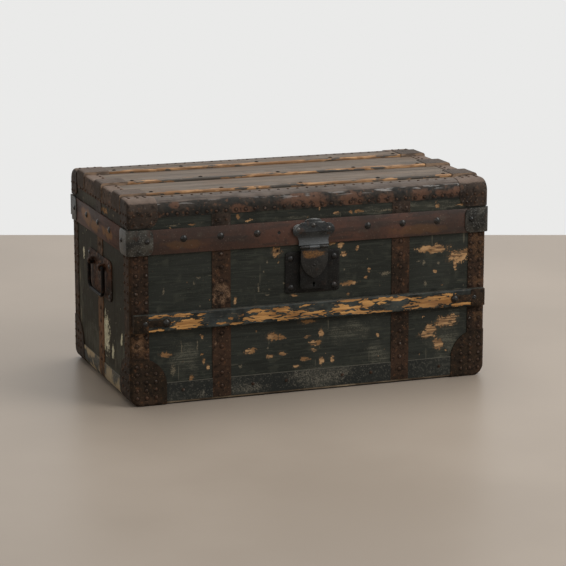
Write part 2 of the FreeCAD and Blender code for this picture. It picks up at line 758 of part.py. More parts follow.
def make_lid_bindings():
    """Metal angles along the lid's top edges, caps over its corners and tabs that carry on the bands."""
    sides = ("lid_top - binding_drop", "lid_top + tin")
    bound_x = mirrored_span("lid_half_length + tin")
    front_y = ("-lid_half_depth - tin", "-lid_half_depth + binding_reach")
    front_zone = box("front_binding_zone", bound_x, front_y, sides)
    end_x = ("-lid_half_length - tin", "-lid_half_length + end_binding_reach")
    end_run = mirrored_span("lid_half_depth - binding_reach")
    end_zone = box("end_binding_zone", end_x, end_run, sides)
    front = common("lid_binding_front", lid_skin, front_zone)
    left = common("lid_binding_left", lid_skin, end_zone)
    keep("lid_binding_front", front)
    keep("lid_binding_back", mirror("lid_binding_back", front, BACKWARD))
    right = mirror("lid_binding_right", left, ACROSS)
    keep("lid_bindings_end", group("lid_bindings_end", left, right))

    outer_x = "-lid_half_length - 2 * tin"
    outer_y = "-lid_half_depth - 2 * tin"
    tall = ("rim_top + clamp_rise + lid_cap_gap", "lid_top + 2 * tin")
    legs = (
        rounded_box(
            "lid_cap_front_leg",
            (outer_x, f"{outer_x} + lid_cap_leg"),
            (outer_y, "-lid_half_depth + shoulder_round"),
            tall,
            ("lid_cap_round", 1, [("XMax", "ZMin")]),
        ),
        rounded_box(
            "lid_cap_end_leg",
            (outer_x, "-lid_half_length + edge_round"),
            (outer_y, f"{outer_y} + lid_cap_reach"),
            tall,
            ("lid_cap_round", 0, [("YMax", "ZMin")]),
        ),
        rounded_box(
            "lid_cap_top_leg",
            (outer_x, f"{outer_x} + lid_cap_leg"),
            (outer_y, f"{outer_y} + lid_cap_reach"),
            ("lid_top - edge_round", "lid_top + 2 * tin"),
            ("lid_cap_round", 2, [("XMax", "YMax")]),
        ),
    )
    shell = common("lid_cap_shell", lid_overlap, fuse("lid_cap_zone", *legs))
    keep_at_corners("lid_cap", cut("lid_cap", shell, front, left))

    tab_z = ("rim_top", "lid_top - binding_drop")
    tab = box("front_tab_left", span("-band_middle", "band_width"), LID_FRONT_SKIN, tab_z)
    front_tabs = [tab, mirror("front_tab_right", tab, ACROSS)]
    back_tabs = [mirror(f"{item.Name}_back", item, BACKWARD) for item in front_tabs]
    end_tab = box("end_tab_left", LID_LEFT_SKIN, span("0", "band_width"), tab_z)
    end_tabs = [end_tab, mirror("end_tab_right", end_tab, ACROSS)]
    keep("lid_tabs", group("lid_tabs", *front_tabs, *back_tabs, *end_tabs))
    return left, right


def make_lid_slats(left_binding, right_binding):
    """Three slats along the lid, let in over the end bindings, with their end clamps and their nails."""
    clamps = []
    nails = []
    for place, label in enumerate(("front", "middle", "back"), start=-1):
        middle = f"{place} * lid_slat_pitch"
        stock = rounded_box(
            f"lid_slat_stock_{label}",
            mirrored_span("lid_slat_end"),
            span(middle, "lid_slat_width"),
            ("lid_top", "lid_slat_top"),
            ("lid_slat_round", 0, [("YMin", "ZMax"), ("YMax", "ZMax")]),
        )
        slat = cut(f"lid_slat_{label}", stock, left_binding, right_binding)
        keep(f"lid_slat_{label}", slat)

        cover = rounded_box(
            f"slat_clamp_cover_{label}",
            ("-slat_clamp_end", "-slat_clamp_end + slat_clamp_length"),
            span(middle, "lid_slat_width + 2 * slat_clamp_sheet"),
            ("lid_top - slat_clamp_drop", "lid_slat_top + slat_clamp_sheet"),
            ("slat_clamp_round", 1, [("XMin", "ZMax")]),
        )
        clamp = cut(f"slat_clamp_{label}_left", cover, lid_solid, left_binding, stock)
        clamps += [clamp, mirror(f"slat_clamp_{label}_right", clamp, ACROSS)]

        for along in ("-slat_nail_end", "-slat_nail_pitch", "0", "slat_nail_pitch", "slat_nail_end"):
            head = (along, f"{middle} - slat_nail_offset", "lid_slat_top")
            nails.append(dome(f"slat_nail_{label}", "+z", "slat_nail_width", "slat_nail_rise", *head))
    keep("lid_slat_clamps", group("lid_slat_clamps", *clamps))
    keep("lid_slat_nails", group("lid_slat_nails", *nails))


def make_hasp():
    """The shield on the rim, the pin along its lower edge and the leaf with the staple that hangs from it."""
    sheet_y = ("-hasp_face", "-rim_front")
    disc = rod("hasp_disc", "y", "hasp_arch", *sheet_y, z="arch_foot")
    upper = box("hasp_upper", mirrored_span("hasp_arch"), sheet_y, ("arch_foot", "rim_top"))
    arch = common("hasp_arched_top", disc, upper)
    left_ear = rod("hasp_ear_left", "y", "hasp_ear", *sheet_y, x="-hasp_ear_spread", z="ear_level")
    right_ear = mirror("hasp_ear_right", left_ear, ACROSS)
    neck = box("hasp_neck_plate", span("0", "leaf_width"), sheet_y, ("hasp_neck", "ear_level"))
    web = box("hasp_web", span("0", "hasp_barrel"), ("-hasp_axis", "-rim_front"), ("hasp_level", "hasp_neck"))
    axis = {"y": "-hasp_axis", "z": "hasp_level"}
    barrel = rod("hasp_barrel_rod", "x", "hasp_knuckle", *span("0", "hasp_barrel"), **axis)
    bore = rod("hasp_bore", "x", "hasp_pin + pin_fit", *span("0", "leaf_width"), **axis)
    stock = fuse("hasp_stock", arch, left_ear, right_ear, neck, web, barrel)
    keep("hasp_plate", cut("hasp_plate", stock, bore))
    pin_x = span("0", "leaf_width + 2 * pin_head")
    keep("hasp_pin", rod("hasp_pin_rod", "x", "hasp_pin", *pin_x, **axis))

    leaf_x = span("0", "leaf_width")
    leaf_y = ("-hasp_axis - leaf_sheet / 2", "-leaf_back")
    plate = box("leaf_plate", leaf_x, leaf_y, ("tip_level", "hasp_level"))
    tip_radius = "leaf_width / 2 + tip_shift"
    left_arc = rod("leaf_arc_left", "y", tip_radius, *leaf_y, x="-tip_shift", z="tip_level")
    arcs = common("leaf_arcs", left_arc, mirror("leaf_arc_right", left_arc, ACROSS))
    tip = common("leaf_pointed_tip", arcs, box("leaf_tip_box", leaf_x, leaf_y, ("leaf_bottom", "tip_level")))
    knuckles = rod("leaf_knuckles", "x", "hasp_knuckle", *span("0", "leaf_width"), **axis)
    room = "hasp_knuckle + knuckle_gap"
    notch = box(
        "leaf_notch",
        span("0", "hasp_barrel + 2 * knuckle_gap"),
        (f"-hasp_axis - ({room})", f"-hasp_axis + {room}"),
        (f"hasp_level - ({room})", f"hasp_level + {room}"),
    )
    staple = box(
        "staple_block",
        span("0", "staple_width"),
        ("-leaf_back", "-staple_tip"),
        span("staple_level", "staple_height"),
    )
    eye = box(
        "staple_eye",
        span("0", "staple_width"),
        ("-eye_front", "-eye_back"),
        span("staple_level", "bolt_height + 2 * bolt_play"),
    )
    keep("hasp_leaf", cut("hasp_leaf", fuse("leaf_stock", plate, tip, knuckles, staple), notch, bore, eye))


def make_hinges():
    """Two butt hinges on the back: a lower leaf with two knuckles, an upper with one, and the pin."""
    axis = {"y": "hinge_axis", "z": "hinge_height"}
    barrel = ("barrel_low", "barrel_high")
    outer_knuckles = (
        ("hinge_low", "barrel_low - knuckle_gap / 2"),
        ("barrel_high + knuckle_gap / 2", "hinge_high"),
    )
    whole = ("hinge_low", "hinge_high")
    inner_knuckle = ("barrel_low + knuckle_gap / 2", "barrel_high - knuckle_gap / 2")
    below_seam = "seam_height - seam_gap / 2"
    bore = rod("hinge_bore", "x", "hinge_pin + pin_fit", *whole, **axis)

    plate_y = ("half_depth", "half_depth + hinge_sheet")
    pieces = [box("lower_plate", whole, plate_y, ("seam_height - hinge_drop", below_seam))]
    for number, reach in enumerate(outer_knuckles, start=1):
        web_z = ("hinge_height - hinge_knuckle", below_seam)
        pieces.append(box(f"lower_web_{number}", reach, ("half_depth", "hinge_axis"), web_z))
        pieces.append(rod(f"lower_knuckle_{number}", "x", "hinge_knuckle", *reach, **axis))
    lower = cut("hinge_lower_right", fuse("lower_stock", *pieces), bore)

    sheet_y = ("rim_front", "rim_front + hinge_sheet")
    upper_low = "hinge_height + hinge_knuckle + knuckle_gap"
    upper_plate = box("upper_plate", whole, sheet_y, (upper_low, "hinge_height + hinge_rise"))
    upper_neck = box("upper_neck", inner_knuckle, sheet_y, ("hinge_height", upper_low))
    upper_barrel = rod("upper_barrel", "x", "hinge_knuckle", *inner_knuckle, **axis)
    upper = cut("hinge_upper_right", fuse("upper_stock", upper_plate, upper_neck, upper_barrel), bore)

    shank = rod("hinge_pin_shank", "x", "hinge_pin", "hinge_low - pin_head", "hinge_high + pin_head", **axis)
    heads = (
        rod("hinge_pin_inner_head", "x", "hinge_knuckle", "hinge_low - pin_head", "hinge_low", **axis),
        rod("hinge_pin_outer_head", "x", "hinge_knuckle", "hinge_high", "hinge_high + pin_head", **axis),
    )
    pin = fuse("hinge_pin_right", shank, *heads)
    pairs = {"hinge_lower_leaves": lower, "hinge_upper_leaves": upper, "hinge_pins": pin}
    for label, item in pairs.items():
        keep(label, group(label, item, mirror(f"{item.Name}_image", item, ACROSS)))


make_case_boards()
corner_bindings, front_strip, left_strip, front_band_pair, left_end_band = make_case_bindings()
make_bottom_caps(corner_bindings["front_left"], front_strip, left_strip)
make_case_slats(corner_bindings, front_band_pair)
make_lock()
make_handles(left_end_band)
make_lid_boards()
make_rim()
left_lid_binding, right_lid_binding = make_lid_bindings()
make_lid_slats(left_lid_binding, right_lid_binding)
make_hasp()
make_hinges()
doc.recompute()

for item in doc.Objects:
    if "Invalid" in item.State or "Error" in item.State:
        raise RuntimeError(f"{item.Label} did not build: {item.State}")
for item in subparts:
    if item.Shape.isNull() or not item.Shape.isValid():
        raise RuntimeError(f"{item.Label} has no valid shape")

os.makedirs("parts", exist_ok=True)
for item in subparts:
    item.Shape.exportStep(f"parts/{item.Label}.step")
    print(f"{item.Label}: {len(item.Shape.Solids)} solid(s), {item.Shape.Volume / 1000:.1f} cm3")
print(f"{len(subparts)} sub-parts")
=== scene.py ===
# %% [markdown]
# An old travelling trunk, dressed as a lesson
# The trunk is a box of painted boards bound with rusty tin, with wooden slats, a hasp lock and bail
# handles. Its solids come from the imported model. This script gives each a finish, adds nails, rivets,
# worn edges and a lining, and sets up a plain studio.

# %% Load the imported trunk
import json
import math
import random
from functools import reduce

import bpy
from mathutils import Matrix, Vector


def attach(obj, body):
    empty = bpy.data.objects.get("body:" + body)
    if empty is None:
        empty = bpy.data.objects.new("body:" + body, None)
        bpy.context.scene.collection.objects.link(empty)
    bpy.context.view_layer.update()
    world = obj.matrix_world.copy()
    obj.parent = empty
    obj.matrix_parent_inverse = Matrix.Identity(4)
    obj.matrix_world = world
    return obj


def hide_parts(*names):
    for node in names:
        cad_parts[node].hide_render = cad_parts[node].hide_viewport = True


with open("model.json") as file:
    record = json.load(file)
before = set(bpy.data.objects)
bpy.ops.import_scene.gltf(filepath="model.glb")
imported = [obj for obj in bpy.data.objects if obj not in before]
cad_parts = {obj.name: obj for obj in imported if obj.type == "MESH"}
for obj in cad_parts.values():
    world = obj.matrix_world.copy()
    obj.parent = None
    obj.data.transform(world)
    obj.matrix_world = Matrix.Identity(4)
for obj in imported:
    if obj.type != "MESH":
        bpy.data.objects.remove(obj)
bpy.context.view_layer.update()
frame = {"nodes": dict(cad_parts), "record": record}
nodes = frame["nodes"]

# %% [markdown]
# Shader arithmetic
# A finish is built from masks: where the wood shows, where dust lies, where a scratch runs. A mask reads
# best as a formula, so a class wraps a socket and lets Python's operators add the Math nodes.

# %% A socket that can be added and multiplied
class Amount:
    """A value that changes over a surface; arithmetic on it adds Math nodes."""

    def __init__(self, finish, socket):
        self.finish = finish
        self.socket = socket

    def math(self, operation, *terms):
        return self.finish.node("ShaderNodeMath", dict(enumerate(terms)), operation=operation)

    def __add__(self, other):
        return self.math("ADD", self, other)

    __radd__ = __add__

    def __sub__(self, other):
        return self.math("SUBTRACT", self, other)

    def __rsub__(self, other):
        return self.math("SUBTRACT", other, self)

    def __mul__(self, other):
        return self.math("MULTIPLY", self, other)

    def __abs__(self):
        return self.math("ABSOLUTE", self)

    def most(self, other):
        return self.math("MAXIMUM", self, other)

    def step(self, low, high):
        """A smooth step from 0 at low to 1 at high."""
        spread = {"Value": self, "From Min": low, "From Max": high}
        return self.finish.node("ShaderNodeMapRange", spread, interpolation_type="SMOOTHSTEP")


def least(amounts):
    """The smallest of some amounts at each point."""
    return reduce(lambda first, second: first.math("MINIMUM", first, second), amounts)


# %% [markdown]
# A finish under construction
# Every material starts the same way: the piece's own coordinates, some noise, smooth steps that turn noise
# into masks, and colours laid over each other by those masks.

# %% Layers of colour, and the finish class
def shade(red, green, blue):
    """A colour in screen values from 0 to 255, as the light values that a shader mixes."""
    def light(part):
        part = part / 255
        return part / 12.92 if part <= 0.04045 else ((part + 0.055) / 1.055) ** 2.4
    return light(red), light(green), light(blue), 1


class Colour:
    """A colour built up in layers. Each layer is three screen values or another colour."""

    def __init__(self, ground, amount, edges, over):
        self.finish = amount.finish
        self.top = shade(*ground)
        self.coat(amount, edges, over)

    def lay(self, mask, over):
        """Lay a colour on top by a mask."""
        over = over.top if isinstance(over, Colour) else shade(*over)
        layers = {0: mask, 6: self.top, 7: over}
        self.top = self.finish.node("ShaderNodeMix", layers, 2, data_type="RGBA")
        return self

    def coat(self, amount, edges, over, strength=1):
        """Lay a colour where an amount passes from the first edge to the second."""
        return self.lay(amount.step(*edges) * strength, over)


class Recipe:
    """A node tree that nodes are added to."""

    def __init__(self, owner):
        owner.use_nodes = True
        self.tree = owner.node_tree

    def node(self, kind, inputs=None, out=0, **settings):
        """Add one node: its settings first, then a value or a link for each named socket."""
        item = self.tree.nodes.new(kind)
        for setting, choice in settings.items():
            setattr(item, setting, choice)
        self.fill(item, inputs or {})
        return Amount(self, item.outputs[out])

    def fill(self, item, inputs):
        for socket, value in inputs.items():
            if isinstance(value, Amount):
                self.tree.links.new(value.socket, item.inputs[socket])
            else:
                item.inputs[socket].default_value = value


class Finish(Recipe):
    """One material, built from the place of a point on the piece."""

    def __init__(self, name):
        self.material = bpy.data.materials.new(name)
        super().__init__(self.material)
        self.shader = self.tree.nodes["Principled BSDF"]
        self.place = self.node("ShaderNodeTexCoord", out="Object")
        facing = self.node("ShaderNodeTexCoord", out="Normal")
        self.x, self.y, self.z = [self.part(self.place, axis) for axis in "XYZ"]
        self.up = self.part(facing, "Z")
        self.side = abs(self.part(facing, "X"))

    def part(self, vector, axis):
        return self.node("ShaderNodeSeparateXYZ", {0: vector}, axis)

    def vector(self, operation, *terms, out=0):
        return self.node("ShaderNodeVectorMath", dict(enumerate(terms)), out, operation=operation)

    def cloud(self, scale, detail=4, stretch=(1, 1, 1), out="Fac"):
        """Noise from 0 to 1; a stretch under 1 draws it out along that axis."""
        where = self.vector("MULTIPLY", self.place, stretch)
        return self.node("ShaderNodeTexNoise", {"Vector": where, "Scale": scale, "Detail": detail}, out)

    def near(self, spots, wobble=0.012):
        """Under 1 inside the nearest ellipse, over 1 outside. Spots: middles and half widths in mm."""
        drift = self.vector("SUBTRACT", self.cloud(45, 3, out="Color"), (0.5, 0.5, 0.5))
        ragged = self.vector("MULTIPLY_ADD", drift, (wobble, wobble, wobble), self.place)
        reaches = []
        for middle, half in spots:
            scale = [1000 / part if part else 0 for part in half]
            shift = [-place / part if part else 0 for place, part in zip(middle, half)]
            offset = self.vector("MULTIPLY_ADD", ragged, scale, shift)
            reaches.append(self.vector("LENGTH", offset, out="Value"))
        return least(reaches)

    def torn(self, spots, tear, low, high):
        """A smooth step over how far off some spots are, with outlines that an amount has torn."""
        return (self.near(spots) + tear).step(low, high)

    def dirt_and_shade(self, rows, reach):
        """1 round the nails of some rows, for painted shade round each nail. A row: axis across, place, axis
        along, start and pitch in mm.
        """
        squares = []
        for across, line, along, start, pitch in rows:
            off = abs(getattr(self, across)) - line / 1000
            past = getattr(self, along) - start / 1000
            past = past.math("PINGPONG", past, pitch / 2000)
            squares.append(off * off + past * past)
        return least(squares).step((reach / 1000) ** 2, (reach / 1600) ** 2)

    def done(self, colour, rough, height=None, depth=0.0006, metal=0, gloss=0.25):
        """Connect the colour and the roughness, with a height that is felt as bumps of a depth in metres."""
        inputs = {
            "Base Color": colour.top, "Roughness": rough, "Metallic": metal, "Specular IOR Level": gloss,
        }
        if height is not None:
            bumps = {"Height": height, "Distance": depth, "Strength": 1.0}
            inputs["Normal"] = self.node("ShaderNodeBump", bumps)
        self.fill(self.shader, inputs)
        print("finish:", self.material.name, "nodes:", len(self.tree.nodes))
        return self.material


# %% [markdown]
# Dressing the solids
# Each finish below goes at once to the solids that wear it, picked by the start of their names.

# %% Give solids a finish
dressed = set()


def dress(starts, finish):
    """Give a finish to the solids whose names start in one of some ways."""
    for name, item in nodes.items():
        if name.startswith(starts):
            dressed.add(name)
            for place in item.material_slots:
                place.material = finish


# %% [markdown]
# Chipped paint over boards
# The walls were painted a green that has gone almost black, and tan wood shows where flakes came off. The
# large flakes are placed as ellipses on the front and the left end, and noise tears their outlines. Grey
# scuffs and thin pale marks are made the same way. Small chips come from noise alone.

# %% Where the flakes, scuffs and marks are, in millimetres
def on_front(places):
    return [((x, 0, z), (half_x, 0, half_z)) for x, z, half_x, half_z in places]


def on_end(places):
    return [((0, y, z), (0, half_y, half_z)) for y, z, half_y, half_z in places]


FRONT_FLAKES = on_front([
    (247, 257, 33, 7), (226, 254, 12, 5), (299, 238, 22, 11), (309, 244, 12, 9), (293, 220, 4, 9),
    (250, 213, 4, 4), (40, 281, 6, 4), (56, 277, 6, 5), (91, 270, 4, 5), (64, 258, 6, 5), (115, 223, 3, 3),
    (109, 210, 4, 3), (75, 203, 16, 4), (-36, 189, 7, 2), (73, 182, 3, 3), (-71, 274, 10, 10),
    (-77, 111, 14, 8), (-60, 108, 8, 5), (-123, 87, 11, 5), (-83, 74, 8, 3), (-60, 78, 7, 4),
    (-289, 95, 12, 6), (-214, 77, 3, 7), (-206, 65, 3, 6), (-153, 187, 3, 7), (-238, 47, 4, 7),
    (-7, 135, 15, 5), (19, 111, 6, 8), (-9, 105, 6, 3), (6, 92, 10, 5), (5, 80, 6, 4), (-14, 63, 8, 4),
    (-31, 49, 7, 4), (20, 56, 5, 6), (40, 58, 4, 7), (135, 97, 3, 4), (272, 112, 22, 11), (288, 118, 12, 6),
    (244, 100, 12, 9), (236, 90, 16, 8), (259, 70, 11, 11),
])
FRONT_SCUFFS = on_front([
    (136, 56, 30, 24), (10, 37, 48, 16), (22, 11, 7, 9), (-217, 13, 9, 8), (276, 78, 34, 32),
    (294, 122, 13, 14), (-124, 17, 42, 14), (-24, 23, 30, 18), (-251, 82, 30, 30), (77, 111, 44, 20),
])
FRONT_MARKS = on_front([
    (-291, 214, 2, 7), (-222, 235, 4, 3), (-232, 226, 3, 3), (-96, 236, 2, 2), (-84, 203, 2, 2),
    (-106, 205, 2, 10), (-89, 255, 2, 4), (-57, 212, 4, 2), (-89, 193, 5, 2), (-220, 180, 2, 2),
    (-256, 107, 1, 15), (-226, 110, 1.6, 15), (-274, 65, 5, 11), (-88, 91, 2, 2), (-143, 59, 4, 4),
    (111, 248, 2, 2), (216, 235, 4, 2), (226, 232, 4, 4), (257, 230, 4, 3), (311, 181, 2, 2),
    (231, 189, 4, 6), (66, 230, 2, 2), (150, 216, 12, 4),
])
LID_FLAKES = on_front([
    (-145, 345, 5, 4), (-125, 336, 8, 2), (254, 341, 5, 4), (77, 340, 4, 3), (94, 340, 8, 3),
    (49, 339, 8, 2), (14, 352, 2, 6), (300, 339, 9, 2), (-235, 337, 6, 2),
])
LEFT_FLAKES = on_end([
    (-31, 104, 26, 38), (-78, 77, 9, 12), (-139, 113, 7, 12), (-143, 49, 9, 20), (124, 230, 6, 12),
])
LEFT_SCUFFS = on_end([
    (-58, 26, 80, 34), (156, 172, 22, 40), (152, 96, 22, 44), (40, 63, 70, 36), (91, 71, 50, 28),
    (-130, 80, 40, 40),
])
LEFT_MARKS = on_end([
    (156, 178, 4, 18), (152, 100, 4, 22), (120, 205, 3, 10), (-96, 60, 3, 12), (30, 240, 3, 8),
])


# %% The paint itself
BOARD_SKIN = {"x": (0.347, 0.351), "y": (0.193, 0.197)}


def bare_wood(finish, deep=(122, 93, 66), pale=(182, 144, 103), along=(0.08, 1, 1)):
    """Tan wood with its grain drawn out along the board, duller in places."""
    grain = finish.cloud(260, 3, along)
    broad = finish.cloud(34, 5)
    wood = Colour(deep, grain, (0.4, 0.6), pale)
    dull = [(dark + light) / 2 - 24 for dark, light in zip(deep, pale)]
    return wood.coat(broad - finish.x * 0.25, (0.44, 0.6), dull, 0.85)


def old_paint(
    name, across, flakes, scuffs, marks, tone=(31, 33, 28), along=(0.05, 1, 1), bare=(), hole=(), gloss=0.2,
):
    """Dark paint with torn flakes on a board's outer face; across is the axis of its thickness."""
    finish = Finish(name)
    broad = finish.cloud(7, 5)
    streak = finish.cloud(150, 4, along)
    rub = finish.cloud(38, 6)
    grit = finish.cloud(230, 5)
    grain = finish.cloud(520, 3)
    paint = Colour(tone, broad, (0.36, 0.66), [part + 9 for part in tone])
    paint.coat(streak, (0.48, 0.68), [part - 9 for part in tone], 0.75)
    paint.coat(rub + (streak - 0.5) * 0.5, (0.55, 0.7), (60, 61, 52), 0.5)
    weave = finish.cloud(430, 3, along)
    paint.coat(weave, (0.52, 0.68), (58, 61, 53), 0.5)

    hair = finish.cloud(170, 2, (1, 1, 0.05)).step(0.66, 0.72) * rub.step(0.5, 0.58)
    drag = finish.cloud(170, 2, (0.05, 1, 1)).step(0.66, 0.72) * rub.step(0.5, 0.42)
    lint = grain.step(0.66, 0.73)
    paint.lay((hair + drag + lint) * 0.35, (118, 113, 96))
    worn = finish.torn(scuffs, (rub - 0.5) * 3.2, 1.3, 0.2)
    rubbed = 0.14 + (weave + (grain - 0.5) * 0.7).step(0.46, 0.62) * 0.5
    paint.lay(worn * rubbed, (98, 96, 83))
    paint.lay(finish.torn(marks, (grain - 0.5) * 3.6, 1, 0.2) * 0.5, (140, 128, 106))

    reach = finish.near(flakes) + (finish.cloud(90, 6) - 0.5) * 1.5 + (grit - 0.5) * 1.6 + (grain - 0.5) * 0.9
    small = finish.cloud(85, 6).step(0.69, 0.7) * broad.step(0.48, 0.6)
    left_over = finish.cloud(300, 5, [min(1, part * 5) for part in along]).step(0.57, 0.61) * 0.75
    chips = reach.step(0.96, 0.88).most(small) * (1 - left_over)
    paint.coat(reach, (1.4, 1.0), (74, 64, 50), 0.5)
    paint.lay(chips, bare_wood(finish, *bare))
    if hole:
        # Painted shade inside a hole in the board: a near-black spot.
        paint.lay(finish.torn(hole, (grit - 0.5) * 1.2, 1, 0.5), (22, 15, 10))
    inside = Colour((150, 128, 98), finish.cloud(14, 5), (0.35, 0.7), (118, 96, 70))
    outside = abs(getattr(finish, across)).step(*BOARD_SKIN[across])
    inside.lay(outside, paint)
    height = grit * 0.2 + streak * 0.5 - chips * 0.9
    return finish.done(inside, 0.56 + chips * 0.25 + broad * 0.12, height, 0.0007, gloss=gloss)


GREY_FLAKE = ((200, 192, 160), (244, 238, 210), (1, 1, 0.05))
UPRIGHT = (1, 1, 0.06)
dress("front_board", old_paint(
    "front paint", "y", FRONT_FLAKES, FRONT_SCUFFS, FRONT_MARKS, hole=on_front([(-68, 276, 4.5, 5)]),
))
dress("back_board", old_paint("back paint", "y", FRONT_FLAKES[1::3], FRONT_SCUFFS[1::2], FRONT_MARKS[::3]))
dress("left_end_board", old_paint(
    "left end paint", "x", LEFT_FLAKES, LEFT_SCUFFS, LEFT_MARKS, (40, 36, 27), UPRIGHT, GREY_FLAKE,
    gloss=0.06,
))
dress("right_end_board", old_paint(
    "right end paint", "x", LEFT_FLAKES[1:4], LEFT_SCUFFS[:3], LEFT_MARKS[2:], (33, 34, 29), UPRIGHT,
    gloss=0.1,
))
dress(("lid_front_rail", "lid_back_rail"), old_paint(
    "lid paint", "y", LID_FLAKES, on_front([(-60, 334, 60, 4), (110, 338, 50, 6), (240, 341, 70, 10)]),
    on_front([(-270, 338, 14, 2), (150, 337, 20, 2)]), (29, 31, 26),
))
dress(("lid_left_end", "lid_right_end"), old_paint(
    "lid end paint", "x", on_end([(-39, 341, 24, 6)]), on_end([(60, 345, 90, 14)]),
    on_end([(116, 339, 4, 4), (-100, 342, 6, 3)]), (42, 35, 26), UPRIGHT, gloss=0.06,
))


# %% [markdown]
# Rusty tin
# The bindings are thin sheet that has rusted to a warm brown. A flat brown would look like plastic, so rust
# is mixed at three scales: broad stains, mottling the size of a nail, and fine specks. A few spots and
# patches are listed, and painted shade darkens the tin round the nails. Their rows are set here, in
# millimetres, and used again for the nails.

# %% Rust, from stains to specks
TIN_PATCHES = on_front([
    (-338, 126, 20, 30), (-336, 106, 18, 10), (343, 258, 22, 26), (344, 186, 14, 10), (345, 118, 14, 8),
])
CORNER_X, CORNER_Y = (343, 324), (188, 169)
CORNER_RUN = (98, 16.5)
BAND_X, BAND_RUN = 179, (27, 25)
END_BAND_RUN = (45, 25)
CAP_X, CAP_Y, CAP_INSETS = 356.4, 201.9, (13, 31, 49)
CAP_RUN = (16, 15)
LID_ROW_Z, LID_ROW_RUN = 358.5, (-282, 18.8)
CASE_ROWS = [("x", line, "z", *CORNER_RUN) for line in CORNER_X]
CASE_ROWS += [("y", line, "z", *CORNER_RUN) for line in CORNER_Y]
CASE_ROWS += [("x", BAND_X, "z", *BAND_RUN)]
END_BAND_ROW = [("y", 0, "z", *END_BAND_RUN)]
CAP_ROWS = [("x", CAP_X - inset, "z", *CAP_RUN) for inset in CAP_INSETS]
CAP_ROWS += [("y", CAP_Y - inset, "z", *CAP_RUN) for inset in CAP_INSETS]
TIN_SPOTS = on_front([
    (-339, 136, 9, 4), (-337, 122, 6, 5), (-336, 112, 5, 5), (-345, 113, 6, 7), (-178, 204, 17, 20),
    (-190, 108, 2, 9),
])
DUST_AND_EDGE_LIGHT = (118, 102, 91)
INNER, OUTER = 0.34, 0.345


def rusty_tin(
    name, dark, warm, dust_and_edge_light=0, shine=0, spots=(), rust=0.5, ends=0, blotch=0.7, rows=(), top=1, lean=0,
    flanks=0,
):
    """Rusted sheet with dark stains (blotch) and rust.

    The dust amount lays dust on what faces up, and lean thins it to the right; on thin inner edges it also
    lays a pale coat, painted light that lifts their shade. Shine rubs specks bright, ends lays painted shade,
    darker and warmer, on what faces the ends, and flanks rubs what faces the front or back to tan, partly as
    painted light that lifts their shade. Rows are nails with painted shade round them, up to the height top
    in metres.
    """
    finish = Finish(name)
    stain = finish.cloud(16, 5)
    mottle = finish.cloud(100, 5)
    speck = finish.cloud(380, 3)
    colour = Colour(dark, stain, (0.36, 0.66), warm)
    colour.coat(mottle, (0.53, 0.66), (24, 20, 17), blotch)
    colour.coat(mottle, (0.43, 0.3), (106, 73, 50), rust)
    colour.coat(speck, (0.63, 0.7), (124, 98, 76), 0.55)
    if spots:
        grains = finish.cloud(650, 3).step(0.46, 0.62)
        pale = finish.torn(spots, (mottle - 0.5) * 3, 1.25, 0.4) * (0.15 + grains * 0.6)
        colour.lay(pale, (142, 114, 90))
        patch = finish.torn(TIN_PATCHES, (mottle - 0.5) * 4 + (speck - 0.5) * 2, 1.2, 0.6)
        colour.lay(patch * (0.15 + grains * 0.5), (110, 82, 58))
    if rows:
        # Painted shade round each nail head, up to the height top.
        nail_shade = finish.dirt_and_shade(rows, 6.2) * finish.z.step(top + 0.002, top)
        colour.lay(nail_shade * 0.5, (20, 16, 13))
    bright = finish.cloud(150, 5).step(0.6, 0.68) * shine
    colour.lay(bright, (160, 154, 148))
    thick = (0.35 + finish.cloud(45, 5)) * (1 - finish.x.step(-0.2, 0.2) * lean) * dust_and_edge_light
    colour.coat(finish.up + (mottle - 0.5) * 0.3, (0.64, 0.78), DUST_AND_EDGE_LIGHT, thick)
    sideways = finish.side.step(0.5, 0.8)
    # Painted light: thin inner edges that face the ends get a pale coat that lifts the shade on them.
    colour.coat(abs(finish.x), (OUTER, INNER), DUST_AND_EDGE_LIGHT, sideways * dust_and_edge_light)
    # Painted shade: faces turned to the ends are made darker and warmer.
    colour.coat(abs(finish.x), (INNER, OUTER), (52, 38, 24), sideways * ends)
    if flanks:
        # Faces to the front or back are rubbed to tan and also lightened: painted light that lifts their
        # shade.
        ragged = finish.cloud(140, 6, (0.22, 1, 1))
        rubbed = Colour((106, 92, 81), ragged, (0.42, 0.6), (158, 133, 111))
        colour.coat(finish.side + abs(finish.up), (0.7, 0.4), rubbed, flanks)
    rough = 0.48 + mottle * 0.3 - bright * 0.25
    return finish.done(colour, rough, mottle * 0.7 + speck * 0.3, 0.001, metal=0.06, gloss=0.08)


dress(("corner_binding", "front_bands", "back_bands"), rusty_tin(
    "rusty tin on the case", (43, 34, 27), (62, 46, 36), spots=TIN_SPOTS, ends=0.5, rows=CASE_ROWS,
))
dress("end_bands", rusty_tin("rusty end bands", (64, 47, 30), (102, 71, 45), rust=0.7, rows=END_BAND_ROW))
dress(("bottom_cap", "slat_caps"), rusty_tin(
    "dark rusty caps", (41, 33, 25), (58, 45, 35), rust=0.4, rows=CAP_ROWS, top=0.09,
))
nail_tin = rusty_tin("rubbed tin nails", (52, 41, 33), (74, 56, 45), shine=0.2, rust=0.3, blotch=0.5)
dress(("lid_cap", "lid_tabs"), rusty_tin(
    "worn lid caps", (45, 38, 33), (65, 55, 48), dust_and_edge_light=0.8, shine=0.1, rust=0.25,
))
dress("lid_slat_clamps", rusty_tin(
    "dusty slat clamps", (50, 44, 39), (66, 58, 52), dust_and_edge_light=0.4, rust=0.15, ends=0.8, blotch=0.3, lean=0.6,
    flanks=0.9,
))
